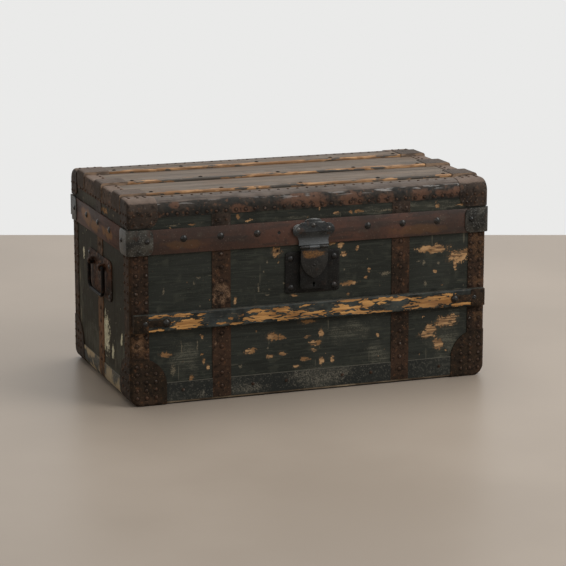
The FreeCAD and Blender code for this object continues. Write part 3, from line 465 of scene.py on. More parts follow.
dress("lid_bindings_end", rusty_tin(
    "rusty lid ends", (52, 39, 29), (74, 56, 41), dust_and_edge_light=0.8, shine=0.1, rust=0.7, blotch=0.9,
))
dress("handle", rusty_tin("handle plates", (36, 27, 21), (74, 48, 33), shine=0.15, rust=0.6))


# %% [markdown]
# The bindings along the lid
# The top leg of these angles carries dust, the bend has short bright flecks of painted highlight, stronger to
# the right, and the upright leg has black paint left between patches of rust. The way a point faces tells
# which it is.

# %% Dust, bright crest, paint and rust
BINDING_RUST = on_front([
    (-19, 368, 44, 12), (147, 363, 16, 14), (75, 366, 34, 11), (217, 363, 20, 12), (-263, 375, 10, 8),
    (-315, 356, 16, 12), (-142, 357, 20, 9), (290, 366, 30, 8),
])


def binding_metal():
    finish = Finish("lid binding")
    patch = finish.cloud(30, 6)
    mottle = finish.cloud(150, 5)
    rusted = finish.torn(BINDING_RUST, (patch - 0.5) * 3.2, 1.3, 0.6)
    colour = Colour((32, 30, 26), patch, (0.42, 0.62), (50, 42, 35))
    colour.lay(rusted * 0.75, (95, 67, 51))
    colour.coat(mottle, (0.53, 0.66), (21, 19, 17), 0.75)
    colour.coat(mottle, (0.42, 0.32), (104, 72, 52), 0.45)
    # Painted shade round the nails of the lower row.
    colour.lay(finish.dirt_and_shade([("z", LID_ROW_Z, "x", *LID_ROW_RUN)], 5.4) * 0.7, (15, 13, 12))
    top = Colour((68, 59, 52), patch, (0.35, 0.65), (92, 81, 73))
    top.coat(finish.cloud(260, 4, (0.06, 1, 1)), (0.5, 0.64), (56, 48, 43), 0.7)
    colour.coat(finish.up + (patch - 0.5) * 0.22, (0.73, 0.79), top)
    # Painted highlight: short bright flecks along the crest, stronger towards the right, where the light
    # falls.
    crest = finish.up.step(0.42, 0.58) * finish.up.step(0.78, 0.7)
    crest_glint = crest * (finish.cloud(210, 5, (0.14, 1, 1)) + (patch - 0.5) * 0.5).step(0.56, 0.62)
    glint_to_right = 0.4 + finish.x.step(-0.05, 0.25) * 0.4
    colour.lay(crest_glint * glint_to_right, (136, 132, 128))
    rough = 0.5 + mottle * 0.25 - crest_glint * 0.25
    return finish.done(colour, rough, patch * 1.4 + mottle * 0.6, 0.0014, metal=0.1, gloss=0.18)


dress("lid_binding_", binding_metal())


# %% [markdown]
# Black steel and the red-brown rim
# The clamps, the lock and the hasp are black steel, rubbed grey. The hasp's shield has a painted highlight on
# its upward top edge and a painted sheen where it bends to the hinge, and the leaf has a tan strip worn
# across it just under the hinge. The rim band keeps a soft sheen of red-brown paint, and rust shows through
# it, most at the left end.

# %% Steel, rim and nail finishes
LEAF_STRIP, LEAF_SKIN = 0.2665, (-0.2112, -0.2116)
RIM_HOLE = on_front([(-67, 310, 3.4, 3.4)])


def black_steel(
    name, dark, pale, rubbed=0.4, rough=0.34, rust=0.6, strip=False, metal=0.4, bump=0.0009, sheen=False,
):
    """Rubbed black steel. Strip adds the leaf's tan strip; sheen paints a sheen on the shield's bend and a
    highlight on its top edge.
    """
    finish = Finish(name)
    broad = finish.cloud(45, 5)
    fine = finish.cloud(420, 4)
    colour = Colour(dark, broad, (0.35, 0.68), pale)
    colour.coat(fine, (0.54, 0.7), (124, 124, 119), rubbed)
    colour.coat(finish.cloud(70, 6), (0.58, 0.68), (60, 43, 34), rust)
    if strip:
        across = (abs(finish.x) + (fine - 0.5) * 0.02 + (broad - 0.5) * 0.02).step(0.0235, 0.0205)
        height = abs(finish.z - LEAF_STRIP) + (fine - 0.5) * 0.014 + (broad - 0.5) * 0.016
        tall = height.step(0.0062, 0.0042)
        worn = across * tall * finish.y.step(*LEAF_SKIN)
        colour.lay(worn * (0.25 + fine.step(0.42, 0.56) * 0.5), (124, 86, 44))
    if sheen:
        # Painted sheen: the shield's bend down to the hinge is made lighter, as light would catch it.
        bend = (finish.z + (broad - 0.5) * 0.012).step(0.304, 0.288)
        colour.lay(bend * 0.6, (88, 90, 91))
        # Painted highlight on the shield's top edge, where it faces up.
        upward = (finish.up + (broad - 0.5) * 0.8).step(0.25, 0.55)
        edge_glint = upward * finish.z.step(0.3, 0.306)
        colour.lay(edge_glint * 0.8, (186, 186, 184))
    return finish.done(colour, rough + broad * 0.25, broad + fine * 0.35, bump, metal, metal)


def rim_paint(name, rust, rusty, gloss):
    finish = Finish(name)
    broad = finish.cloud(13, 5)
    patch = finish.cloud(34, 6)
    run = finish.cloud(85, 4, (0.15, 0.15, 1))
    colour = Colour((52, 35, 27), broad, (0.36, 0.66), (74, 47, 36))
    colour.coat(run, (0.5, 0.66), (41, 31, 26), 0.7)
    colour.coat(patch, (0.55, 0.66), (68, 57, 48), 0.5)
    colour.coat(finish.cloud(160, 5), (0.55, 0.66), (38, 28, 23), 0.5)
    rusted = finish.torn(rust, (patch - 0.5) * 3, 1.2, 0.6)
    colour.lay(rusted * rusty, (116, 79, 40))
    colour.coat(finish.cloud(400, 3), (0.65, 0.72), (122, 106, 92), 0.5)
    # Painted shade inside a nail hole in the rim: a near-black spot with a small dip.
    hole = finish.near(RIM_HOLE, 0.002).step(1.0, 0.8) * finish.y.step(-0.19, -0.2)
    colour.lay(hole, (12, 10, 9))
    height = run * 0.6 + patch * 0.4 - hole * 2
    return finish.done(colour, 0.42 + run * 0.2, height, 0.0008, metal=0.05, gloss=gloss)


RIM_RUST = on_front([(-250, 300, 40, 10), (215, 298, 50, 9)])
LEFT_RIM_RUST = on_end([(78, 307, 40, 13), (19, 302, 46, 11), (-66, 304, 38, 9)])
dress(("rim_clamps", "hinge", "lock_bolt"), black_steel(
    "clamp steel", (33, 32, 29), (70, 67, 60), rubbed=0.5, metal=0.28,
))
dress(("lock_plate", "lock_case"), black_steel(
    "lock steel", (16, 15, 14), (27, 26, 24), rubbed=0.1, rough=0.4, rust=0.15, metal=0.15,
))
lock_rivet = black_steel(
    "lock rivets", (22, 21, 20), (36, 34, 33), rubbed=0.1, rough=0.22, rust=0.2, bump=0.0003,
)
dress(("hasp_plate", "hasp_pin"), black_steel(
    "hasp steel", (26, 27, 27), (47, 49, 49), rubbed=0.2, rough=0.28, metal=0.3, sheen=True,
))
hasp_rivet = black_steel(
    "hasp rivets", (46, 43, 40), (78, 74, 70), rubbed=0.2, rough=0.18, rust=0.3, metal=0.5, bump=0.0003,
)
dress("hasp_leaf", black_steel(
    "hasp leaf steel", (22, 21, 20), (37, 36, 33), rubbed=0.15, rough=0.36, rust=0.3, strip=True,
))
nail_steel = black_steel(
    "nail steel", (20, 19, 18), (38, 35, 32), rubbed=0.2, rough=0.16, rust=0.3, bump=0.0003,
)
dress(("slat_studs", "rim_nails"), nail_steel)
dress("lid_slat_nails", black_steel(
    "dark slat nails", (10, 9, 9), (18, 17, 15), rubbed=0, rough=0.6, rust=0.1, metal=0.05,
))
dress("bail", black_steel("bail steel", (11, 9, 8), (22, 17, 14), rubbed=0.05, rust=0.8, metal=0.05))
dress(("rim_band_front", "rim_band_back", "rim_band_right"), rim_paint("rim paint", RIM_RUST, 0.25, 0.35))
dress("rim_band_left", rim_paint("rusty rim paint", LEFT_RIM_RUST, 0.8, 0.08))


# %% [markdown]
# Slats worn to the wood
# The front slat's paint is left in streaks along the grain, with orange wood between them. The bare places
# are listed, and noise along the slat tears them into splinters. The slats on the lid are grey with dust and
# bare only along their front edges.

# %% Slat finishes
SLAT_BARE = on_front([
    (-257, 170, 17, 3), (-222, 169, 10, 2), (-251, 153, 30, 9), (-267, 149, 16, 4), (-184, 148, 8, 2),
    (-162, 158, 6, 3), (-145, 161, 8, 4), (-154, 146, 18, 2), (-117, 167, 12, 3), (-103, 154, 28, 7),
    (-78, 161, 24, 8), (-50, 148, 20, 6), (-30, 154, 18, 6), (-62, 167, 12, 2), (-16, 169, 14, 2),
    (-6, 153, 36, 5), (56, 156, 18, 8), (85, 148, 29, 4), (54, 173, 8, 2), (76, 172, 18, 3),
    (105, 164, 14, 9), (89, 157, 10, 5), (150, 169, 37, 3), (136, 161, 8, 3), (174, 168, 16, 3),
    (130, 145, 21, 2), (201, 150, 17, 7), (207, 165, 15, 4), (243, 152, 34, 6), (257, 163, 32, 6),
    (222, 160, 16, 5), (274, 157, 13, 9), (306, 147, 22, 3), (-304, 146, 24, 3), (-306, 171, 18, 2),
])


def worn_slat(name, places):
    finish = Finish(name)
    fibre = finish.cloud(300, 5, (0.3, 1, 1))
    grain = finish.cloud(420, 3, (0.04, 1, 1))
    left_over = finish.cloud(230, 5, (0.2, 1, 1)).step(0.565, 0.595)
    tear = (fibre - 0.5) * 2.4 + (finish.cloud(90, 4, (0.3, 1, 1)) - 0.5) * 2
    bare = finish.torn(places, tear, 1.14, 1.04) * (1 - left_over)
    wood = Colour((148, 104, 58), grain, (0.36, 0.64), (198, 149, 90))
    wood.coat(finish.cloud(40, 4, (0.3, 1, 1)), (0.48, 0.7), (136, 98, 64), 0.8)
    colour = Colour((28, 31, 29), finish.cloud(60, 4), (0.4, 0.66), (52, 56, 52))
    colour.coat(fibre, (0.58, 0.66), (92, 84, 70), 0.6)
    top = finish.up.step(0.4, 0.85)
    colour.lay(bare * (1 - top), wood)
    colour.lay(top * fibre.step(0.36, 0.6) * 0.7, (78, 72, 63))
    return finish.done(colour, 0.58 + bare * 0.15, fibre * 0.4 + grain * 0.4 - bare * 0.7, 0.0009)


def lid_wood(name, edges):
    """Dusty boards; edges are the front lines of the slats, in metres, where the wood is worn bare."""
    finish = Finish(name)
    streak = finish.cloud(150, 4, (0.03, 1, 1))
    fine = finish.cloud(330, 4, (0.1, 1, 1))
    broad = finish.cloud(11, 5)
    colour = Colour((80, 70, 60), streak, (0.35, 0.68), (111, 98, 85))
    colour.coat(broad, (0.45, 0.68), (94, 77, 62), 0.7)
    colour.coat(fine, (0.55, 0.68), (62, 54, 48), 0.6)
    crack = finish.cloud(120, 3, (0.02, 1, 1)).step(0.64, 0.68)
    colour.lay(crack * 0.8, (40, 36, 32))
    ragged = finish.cloud(140, 6, (0.22, 1, 1))
    height = streak * 0.5 - crack
    if edges:
        away = least([abs(finish.y - edge) for edge in edges])
        away = away + abs(finish.x).step(0.26, 0.34) * 0.008
        worn = (away + (ragged - 0.5) * 0.04).step(0.009, 0.008)
        kept = (finish.cloud(30, 3, (0.35, 1, 1)) + (ragged - 0.5) * 0.9).step(0.53, 0.57)
        colour.lay(worn * (1 - kept), bare_wood(finish, (116, 87, 62), (172, 132, 92)))
        colour.lay(worn * kept * 0.8, (54, 51, 46))
        height = height - worn * 0.5
    return finish.done(colour, 0.58 + streak * 0.2, height, 0.0008)


dress("front_slat", worn_slat("worn slat", SLAT_BARE))
BACK_SLAT_BARE = on_front([(-40, 160, 60, 6), (180, 150, 70, 5), (-230, 165, 50, 5)])
dress("back_slat", worn_slat("worn back slat", BACK_SLAT_BARE))
SLAT_FRONTS = (-0.149, -0.023, 0.103)
LID_SLATS = ("lid_slat_front", "lid_slat_middle", "lid_slat_back")
dress(LID_SLATS, lid_wood("lid slats", SLAT_FRONTS))
dress("lid_top_panel", lid_wood("lid panel", ()))


# %% [markdown]
# The strip round the foot and the bare bottom
# The strip is painted like the walls and scuffed grey by floors and boots. The bottom board was never
# painted: its edge is a thin, dirty tan line under the strip, with a painted shadow where it meets the floor.

# %% Foot strip and bottom board
STRIP_EDGE, FOOT_SHADOW_LINE = (0.0405, 0.0415), (0.0034, 0.0018)
FOOT_SCUFFS = on_front([
    (20, 24, 52, 16), (-16, 34, 34, 8), (58, 30, 22, 10), (-217, 13, 9, 8), (-126, 16, 36, 9),
])


def scuffed_strip(name, pale, spots, lean=0.0, scale=170):
    """A strip scuffed most at some spots; lean spreads the scuffs to the left, scale makes them finer."""
    finish = Finish(name)
    scuff = finish.cloud(scale, 6)
    broad = finish.cloud(9, 4)
    fine = finish.cloud(380, 3)
    colour = Colour((24, 26, 23), broad, (0.4, 0.65), (37, 38, 33))
    colour.coat(scuff + (broad - 0.5) * 0.5 - finish.x * lean, (0.5, 0.66), pale, 0.6)
    worn = finish.torn(spots, (scuff - 0.5) * 4, 1.3, 0.2) * fine.step(0.36, 0.6)
    colour.lay(worn * 0.5, (124, 118, 104))
    colour.coat(fine, (0.61, 0.69), (124, 120, 108), 0.4)
    colour.coat(finish.z, STRIP_EDGE, (112, 108, 96), 0.5)
    return finish.done(colour, 0.55 + scuff * 0.2, scuff * 0.6 + fine * 0.2)


def raw_board():
    finish = Finish("raw board")
    dirt_and_shade = finish.cloud(42, 6, (0.4, 1, 1))
    colour = bare_wood(finish, (118, 104, 86), (160, 144, 120))
    colour.coat(dirt_and_shade, (0.44, 0.62), (62, 51, 40), 0.8)
    # Painted contact shadow along the lowest few millimetres of the board, where it meets the floor.
    colour.coat(finish.z, FOOT_SHADOW_LINE, (16, 13, 11))
    return finish.done(colour, 0.75 + dirt_and_shade * 0.1, dirt_and_shade)


dress("bottom_bands_long", scuffed_strip("scuffed foot strip", (66, 65, 58), FOOT_SCUFFS))
dress("bottom_bands_end", scuffed_strip(
    "scuffed foot strip at the ends", (202, 178, 138), LEFT_SCUFFS, 0.28, 38,
))
dress("bottom_board", raw_board())
print("dressed:", len(dressed), "of", len(nodes), "solids")


# %% [markdown]
# Nails and rivets
# Hundreds of small nails hold the tin down in rows. Each is a low dome: one is made from half a ball,
# copied to every place, and the copies are joined. A little chance keeps the rows uneven.

# %% One head, and a way to stamp it
FACING = {
    "front": ((math.pi / 2, 0, 0), 1), "back": ((-math.pi / 2, 0, 0), 1), "left": ((0, -math.pi / 2, 0), 0),
    "right": ((0, math.pi / 2, 0), 0), "top": ((0, 0, 0), 2),
}
SMOOTH_ANGLE = math.radians(40)
HEAD_CUT, HEAD_SINK, NAIL_SLIP = 0.1, 0.3, 0.5
BODIES = frame["record"]["behaviour"]["bodies"]
BODY_OF = {name: body for body, members in BODIES.items() for name in members}
SLOT_OF = {part["node"]: part["material_slot"] for part in frame["record"]["subparts"]}


def mode(name):
    bpy.ops.object.mode_set(mode=name)


def select(action):
    bpy.ops.mesh.select_all(action=action)


def edit_faces(piece, wanted):
    """Enter edit mode with only those faces selected that a rule wants."""
    mode("EDIT")
    select("DESELECT")
    mode("OBJECT")
    for face in piece.data.polygons:
        face.select = wanted(face)
    mode("EDIT")


def slice_mesh(places, normal):
    """In edit mode, cut the mesh by planes at some places along an axis, in metres."""
    for place in places:
        select("SELECT")
        bpy.ops.mesh.bisect(plane_co=[place * part for part in normal], plane_no=normal)


def deselect():
    for item in bpy.context.selected_objects:
        item.select_set(False)


def take(item):
    """Select an object as well, and make it the active one."""
    item.select_set(True)
    bpy.context.view_layer.objects.active = item


def pick(item):
    """Make an object the only selected and the active one."""
    deselect()
    take(item)


def fit(piece, body, slot, finish, *stands_for):
    """Finish a piece, let it ride on a body and, where it stands for solids, hide those."""
    piece.data.materials.clear()
    piece.data.materials.append(finish)
    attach(piece, body)
    if stands_for:
        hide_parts(*stands_for)
    print("piece:", piece.name, "on", body, "faces:", len(piece.data.polygons))


def stand_in(piece, name):
    """Fit a piece in place of a solid, with the solid's body and finish."""
    fit(piece, BODY_OF[name], SLOT_OF[name], nodes[name].material_slots[0].material, name)


def added(operator, **settings):
    """Run an operator that adds an object, and return that object."""
    deselect()
    operator(**settings)
    return bpy.context.object


def nail_head(width, rise, around):
    """A low dome, its flat closed foot sunk a little below the origin. Sizes in millimetres."""
    head = added(bpy.ops.mesh.primitive_uv_sphere_add, segments=around, ring_count=6, radius=1)
    bpy.ops.object.shade_smooth()
    mode("EDIT")
    select("SELECT")
    bpy.ops.mesh.bisect(plane_co=(0, 0, HEAD_CUT), plane_no=(0, 0, 1), use_fill=True, clear_inner=True)
    select("SELECT")
    bpy.ops.transform.translate(value=(0, 0, -HEAD_SINK))
    scale = (width / 2000, width / 2000, rise / 600)
    bpy.ops.transform.resize(value=scale, center_override=(0, 0, 0))
    mode("OBJECT")
    return head


def stamp(name, pattern, places, body, slot, finish):
    """Copies of a pattern at (facing, x, y, z) in millimetres, joined into one piece."""
    chance = random.Random(name)
    deselect()
    for facing, *point in places:
        turn, normal = FACING[facing]
        copy = pattern.copy()
        copy.data = pattern.data.copy()
        bpy.context.collection.objects.link(copy)
        copy.rotation_euler = turn
        slip = [0 if axis == normal else chance.uniform(-NAIL_SLIP, NAIL_SLIP) for axis in range(3)]
        copy.location = [(part + off) / 1000 for part, off in zip(point, slip)]
        take(copy)
    bpy.ops.object.join()
    piece = bpy.context.object
    piece.name = name
    bpy.ops.object.transform_apply()
    bpy.data.objects.remove(pattern)
    fit(piece, body, slot, finish)


def all_corners(places):
    """The same places at the other end and on the back as well."""
    both = places + [("right" if face == "left" else face, -x, y, z) for face, x, y, z in places]
    return both + [("back" if face == "front" else face, x, -y, z) for face, x, y, z in both]


# %% [markdown]
# Rows on the case
# The corner angles carry two rows on each leg, the bands one row up the middle, and the big bottom caps
# three rows that stop at their round. Levels behind the slats and the handles are left out.

# %% Nails of the case
SLAT_SPAN, HANDLE_SPAN = (136, 180), (168, 254)
CASE_FRONT, CASE_END = 200.5, 355
CAP_FRONT, CAP_END = 201.7, 356.2
CORNER_TOP, BAND_TOP, CAP_TOP = 280, 278, 76
CAP_ROUND, CAP_ROUND_INSET, CAP_ROUND_LEVEL = 44, 18, 39
STRIP_NAILS, STRIP_LEVEL = (-255, -118, -52, 62, 120, 262), 25


def levels(low, pitch, high, skip=SLAT_SPAN):
    """Heights from low to high at a pitch, leaving out a span that something covers."""
    steps = [low + number * pitch for number in range(int((high - low) / pitch) + 1)]
    return [level for level in steps if not skip[0] < level < skip[1]]


corner_rows = []
for level in levels(*CORNER_RUN, CORNER_TOP):
    corner_rows += [("front", -x, -CASE_FRONT, level) for x in CORNER_X]
    corner_rows += [("left", -CASE_END, -y, level) for y in CORNER_Y]
cap_rows = []
for level in levels(*CAP_RUN, CAP_TOP):
    for inset in CAP_INSETS:
        if math.hypot(max(inset - CAP_ROUND_INSET, 0), max(level - CAP_ROUND_LEVEL, 0)) < CAP_ROUND:
            cap_rows.append(("front", -CAP_X + inset, -CAP_FRONT, level))
            if level > CAP_RUN[0]:
                cap_rows.append(("left", -CAP_END, -CAP_Y + inset, level))
band_rows = [("front", -BAND_X, -CASE_FRONT, level) for level in levels(*BAND_RUN, BAND_TOP)]
case_rows = all_corners(corner_rows + cap_rows + band_rows)
for level in levels(*END_BAND_RUN, BAND_TOP, HANDLE_SPAN):
    case_rows += [("left", -CASE_END, 0, level), ("right", CASE_END, 0, level)]
for x in STRIP_NAILS:
    case_rows += [("front", x, -CASE_FRONT, STRIP_LEVEL), ("back", -x, CASE_FRONT, STRIP_LEVEL)]
stamp("case_nails", nail_head(7.6, 2.0, 8), case_rows, "case", "binding_tin", nail_tin)

# %% [markdown]
# Rows on the lid
# The angles along the lid have a close row near their lower edge and one on top. The ends repeat that, with
# gaps in the top row where the slat clamps lie. Corner caps have two rows on each face, and tabs have two
# nails.

# %% Nails of the lid
LID_FRONT, LID_END, LID_TOP = 202.1, 356.6, 385
TOP_ROW_X, TOP_ROW_Y = 332, 171
END_ROW_START, END_ROW_Z = -150, 356.2
SLAT_MIDDLES, SLAT_CLEAR = (-126, 0, 126), 28
LID_CAP_X, LID_CAP_Y, LID_CAP_LEVELS = 346, 192, (343, 359)
LID_CAP_FRONT, LID_CAP_END, LID_CAP_TOP = 203.3, 357.8, 386.2
LID_ROW_COUNT, END_ROW_COUNT, TAB_LEVEL = 31, 17, 342
lid_start, lid_pitch = LID_ROW_RUN
lid_rows = []
for number in range(LID_ROW_COUNT):
    along = lid_start + number * lid_pitch
    lid_rows += [("front", along, -LID_FRONT, LID_ROW_Z), ("back", along, LID_FRONT, LID_ROW_Z)]
    lid_rows += [("top", along, -TOP_ROW_Y, LID_TOP), ("top", along, TOP_ROW_Y, LID_TOP)]
for number in range(END_ROW_COUNT):
    along = END_ROW_START + number * lid_pitch
    lid_rows += [("left", -LID_END, along, END_ROW_Z), ("right", LID_END, along, END_ROW_Z)]
    if min(abs(along - middle) for middle in SLAT_MIDDLES) > SLAT_CLEAR:
        lid_rows += [("top", -TOP_ROW_X, along, LID_TOP), ("top", TOP_ROW_X, along, LID_TOP)]
cap_grid = [(step, level) for step in (0, 16, 32) for level in LID_CAP_LEVELS]
cap_places = [("front", -LID_CAP_X + step, -LID_CAP_FRONT, level) for step, level in cap_grid]
cap_places += [("left", -LID_CAP_END, -LID_CAP_Y + step, level) for step, level in cap_grid]
top_grid = [(step, back) for step in (0, 16, 30) for back in (-174, -163)]
cap_places += [("top", -LID_CAP_X + step, back, LID_CAP_TOP) for step, back in top_grid]
tab_places = [("front", -BAND_X + step, -LID_FRONT, TAB_LEVEL) for step in (-10, 10)]
lid_rows += all_corners(cap_places + tab_places)
stamp("lid_nails", nail_head(6.4, 1.7, 8), lid_rows, "lid", "binding_tin", nail_tin)

# %% [markdown]
# Rivets of the hardware
# Larger rivets in black steel hold the lock, the hasp, the clamps, the handles and the hinges. The leaf has
# one small stud.

# %% Rivets
PLATE_FACE, HANDLE_FACE, LEAF_FACE = 201.3, 356.3, 212.2
CLAMP_FRONT, CLAMP_END, RIM_PLATE_FACE = 205.4, 359.9, 205.9
HINGE_RIVETS = (-210, -240, 210, 240)
lock_places = [("front", x, -PLATE_FACE, z) for x in (-43, 43) for z in (203, 258)]
stamp("lock_rivets", nail_head(14, 3.2, 16), lock_places, "case", "black_steel", lock_rivet)
handle_grid = [(y, z) for y in (-71, 71) for z in (182, 240)]
case_rivets = [("left", -HANDLE_FACE, y, z) for y, z in handle_grid]
case_rivets += [("right", HANDLE_FACE, y, z) for y, z in handle_grid]
case_rivets += [("back", x, PLATE_FACE, z) for x in HINGE_RIVETS for z in (265, 277)]
stamp("case_rivets", nail_head(10.5, 2.6, 12), case_rivets, "case", "black_steel", nail_steel)

lid_rivets = all_corners([("front", -322, -CLAMP_FRONT, 310), ("left", -CLAMP_END, -168, 310)])
lid_rivets += [("back", x, RIM_PLATE_FACE, z) for x in HINGE_RIVETS for z in (304, 318)]
stamp("lid_rivets", nail_head(11, 2.8, 12), lid_rivets, "lid", "black_steel", nail_steel)
hasp_grid = [(-30, 313.5), (30, 313.5), (0, 319.5)]
hasp_places = [("front", x, -RIM_PLATE_FACE, z) for x, z in hasp_grid]
stamp("hasp_rivets", nail_head(12, 3.4, 16), hasp_places, "lid", "black_steel", hasp_rivet)
leaf_places = [("front", 0, -LEAF_FACE, 246)]
stamp("leaf_stud", nail_head(5, 1.5, 12), leaf_places, "hasp_leaf", "black_steel", nail_steel)


# %% [markdown]
# Worn edges
# Copies of the solids whose edges show most are merged into clean meshes and rounded, so that they catch
# the light. The slats are also cut across at many places and their points moved a little by chance. Each
# copy takes over its solid's body and finish.

# %% Rounded copies of the solids
SLAT_ROUNDING, SLAT_STEP, SLAT_WEAR = 1.5, 13, 0.45


def bevel(piece, width, segments, angle):
    """Round the edges that are sharper than an angle by a width in millimetres."""
    rounding = piece.modifiers.new("rounded edges", "BEVEL")
    rounding.width = width / 1000
    rounding.segments = segments
    rounding.limit_method = "ANGLE"
    rounding.angle_limit = angle
    return rounding


def rounded_copy(name, width):
    """A copy of a solid, merged and with its sharp edges rounded by a width in millimetres."""
    piece = bpy.data.objects.new(f"{name}_worn", nodes[name].data.copy())
    bpy.context.collection.objects.link(piece)
    pick(piece)
    bpy.ops.mesh.customdata_custom_splitnormals_clear()
    mode("EDIT")
    select("SELECT")
    bpy.ops.mesh.remove_doubles(threshold=0.00001)
    bpy.ops.mesh.dissolve_limited(angle_limit=math.radians(1))
    mode("OBJECT")
    return piece, bevel(piece, width, 2, SMOOTH_ANGLE)


def keep(piece, modifier):
    """Apply a modifier for good, and shade all but the sharp edges smooth."""
    pick(piece)
    bpy.ops.object.modifier_apply(modifier=modifier.name)
    bpy.ops.object.shade_smooth_by_angle(angle=SMOOTH_ANGLE)
    return piece


def uneven(piece, seed):
    """Cut a slat across at steps along it, then move its points by chance."""
    half = max(corner.co.x for corner in piece.data.vertices)
    cuts = range(1, int(2000 * half / SLAT_STEP))
    mode("EDIT")
    slice_mesh([number * SLAT_STEP / 1000 - half for number in cuts], (1, 0, 0))
    select("SELECT")
    bpy.ops.transform.vertex_random(offset=SLAT_WEAR / 1000, uniform=0, normal=0, seed=seed)
    mode("OBJECT")
    return piece


for seed, name in enumerate(("front_slat", "back_slat", *LID_SLATS)):
    slat = keep(*rounded_copy(name, SLAT_ROUNDING))
    stand_in(uneven(slat, seed), name)

SOFTENED = {
    "bottom_board": 2.4, "lock_case": 0.9, "hasp_leaf": 0.7, "rim_band_front": 0.9, "rim_band_left": 0.9,
    "rim_band_right": 0.9, "rim_band_back": 0.9, "rim_clamps_front": 0.5, "rim_clamps_back": 0.5,
    "slat_caps": 0.5, "handle_loops": 0.7,
}
for name, width in SOFTENED.items():
    stand_in(keep(*rounded_copy(name, width)), name)


# %% [markdown]
# Pressed plates
# The lock plate and the handle plates were pressed in a die: inside a flat border their middle stands out a
# little. The outermost faces are inset and moved outwards, and then the edges are rounded.

# %% Lock plate and handle plates
PLATE_RISE, PLATE_ROUNDING = 0.7, 0.5


def pressed_copy(name, axis, border):
    """A rounded copy whose outermost faces along an axis have a raised middle."""
    piece, rounding = rounded_copy(name, PLATE_ROUNDING)
    reach = max(abs(corner.co[axis]) for corner in piece.data.vertices)

    def outermost(face):
        return abs(face.normal[axis]) > 0.99 and abs(abs(face.center[axis]) - reach) < 0.0001

    edit_faces(piece, outermost)
    bpy.ops.mesh.inset(thickness=border / 1000, depth=PLATE_RISE / 1000)
    mode("OBJECT")
    return keep(piece, rounding)


for name, axis, border in (("lock_plate", 1, 5), ("handle_plates", 0, 6)):
    stand_in(pressed_copy(name, axis, border), name)


# %% [markdown]
# The hasp's shield
# The shield is a sheet with an arched top, two ears for the outer rivets and a neck over the hinge. Discs
# make the arch and the ears, and cut the hollows at the neck and the notches between the lobes.
# Proportional editing pulls the lower edge out to the hinge in a smooth curve, and a barrel round the pin
# is joined on.

# %% Join and cut the shield
SHIELD_MIDDLE, SHIELD_SHEET, CUTTER_DEPTH = -205.1, 2, 6
HINGE_Y, HINGE_Z = -211.15, 280
ARCH, EAR, HOLLOW, NOTCH = (40, 0, 293), (12, 29.5, 311.5), (14.5, 43.5, 289.5), (3.6, 19.5, 329.2)
SHIELD_TRIM = ((-45, 45), (-207, -203), (283.8, 340))
NECK_LEVELS = range(288, 311, 3)
FOOT_LINE, FOOT_PULL, PULL_REACH = 0.2845, -0.0036, 0.027
SHIELD_ROUNDING, SHIELD_CREASE = 0.9, math.radians(30)
BARREL_HALF, BARREL_RADIUS, BARREL_BACK, BARREL_TOP = 10, 3.4, -204.2, 284.2


def cylinder(radius, depth, facing, place, around):
    """A cylinder that faces a way, with its sizes and middle in millimetres."""
    item = added(
        bpy.ops.mesh.primitive_cylinder_add, vertices=around, radius=radius / 1000, depth=depth / 1000,
        rotation=FACING[facing][0], location=[part / 1000 for part in place],
    )
    bpy.ops.object.transform_apply()
    return item


def disc(shape, side, thick):
    """A disc in the shield's plane. Its shape: radius, distance to the side, height."""
    radius, x, z = shape
    return cylinder(radius, thick, "front", (side * x, SHIELD_MIDDLE, z), 64)


def slab(x, y, z):
    """A block between the low and high sizes of each axis, in millimetres."""
    middle = [(low + high) / 2000 for low, high in (x, y, z)]
    size = [(high - low) / 1000 for low, high in (x, y, z)]
    block = added(bpy.ops.mesh.primitive_cube_add, size=1, location=middle, scale=size)
    bpy.ops.object.transform_apply()
    return block


def combine(base, tool, operation):
    step = base.modifiers.new("step", "BOOLEAN")
    step.operation = operation
    step.object = tool
    pick(base)
    bpy.ops.object.modifier_apply(modifier=step.name)
    bpy.data.objects.remove(tool)


shield = disc(ARCH, 1, SHIELD_SHEET)
combine(shield, slab(*SHIELD_TRIM), "INTERSECT")
for side in (-1, 1):
    combine(shield, disc(EAR, side, SHIELD_SHEET), "UNION")
    for cut in (HOLLOW, NOTCH):
        combine(shield, disc(cut, side, CUTTER_DEPTH), "DIFFERENCE")
shield.name = "hasp_shield"
mode("EDIT")
slice_mesh([level / 1000 for level in NECK_LEVELS], (0, 0, 1))
mode("OBJECT")
for corner in shield.data.vertices:
    corner.select = corner.co.z < FOOT_LINE
mode("EDIT")
bpy.ops.transform.translate(
    value=(0, FOOT_PULL, 0), use_proportional_edit=True, proportional_edit_falloff="SHARP",
    proportional_size=PULL_REACH,
)
mode("OBJECT")
keep(shield, bevel(shield, SHIELD_ROUNDING, 3, SHIELD_CREASE))

barrel = slab((-BARREL_HALF, BARREL_HALF), (HINGE_Y, BARREL_BACK), (HINGE_Z, BARREL_TOP))
roll = cylinder(BARREL_RADIUS, 2 * BARREL_HALF, "right", (0, HINGE_Y, HINGE_Z), 32)
combine(barrel, roll, "UNION")
pick(barrel)
take(shield)
bpy.ops.object.join()
stand_in(shield, "hasp_plate")


# %% [markdown]
# The paper lining
# Trunks of this kind were papered inside. Each lining is a thin open box that follows the walls with a
# small gap. Its corners are rounded, and its points are moved a little by chance.

# %% Lining finish and shells
CASE_INSIDE = (-341.8, 341.8), (-187.3, 187.3), (11.2, 285)
LID_INSIDE = (-343.4, 343.4), (-188.9, 188.9), (300, 372.8)
PAPER_ROUNDING, PAPER_WEAR, PAPER_SHEET = 0.005, 0.0005, 0.0004


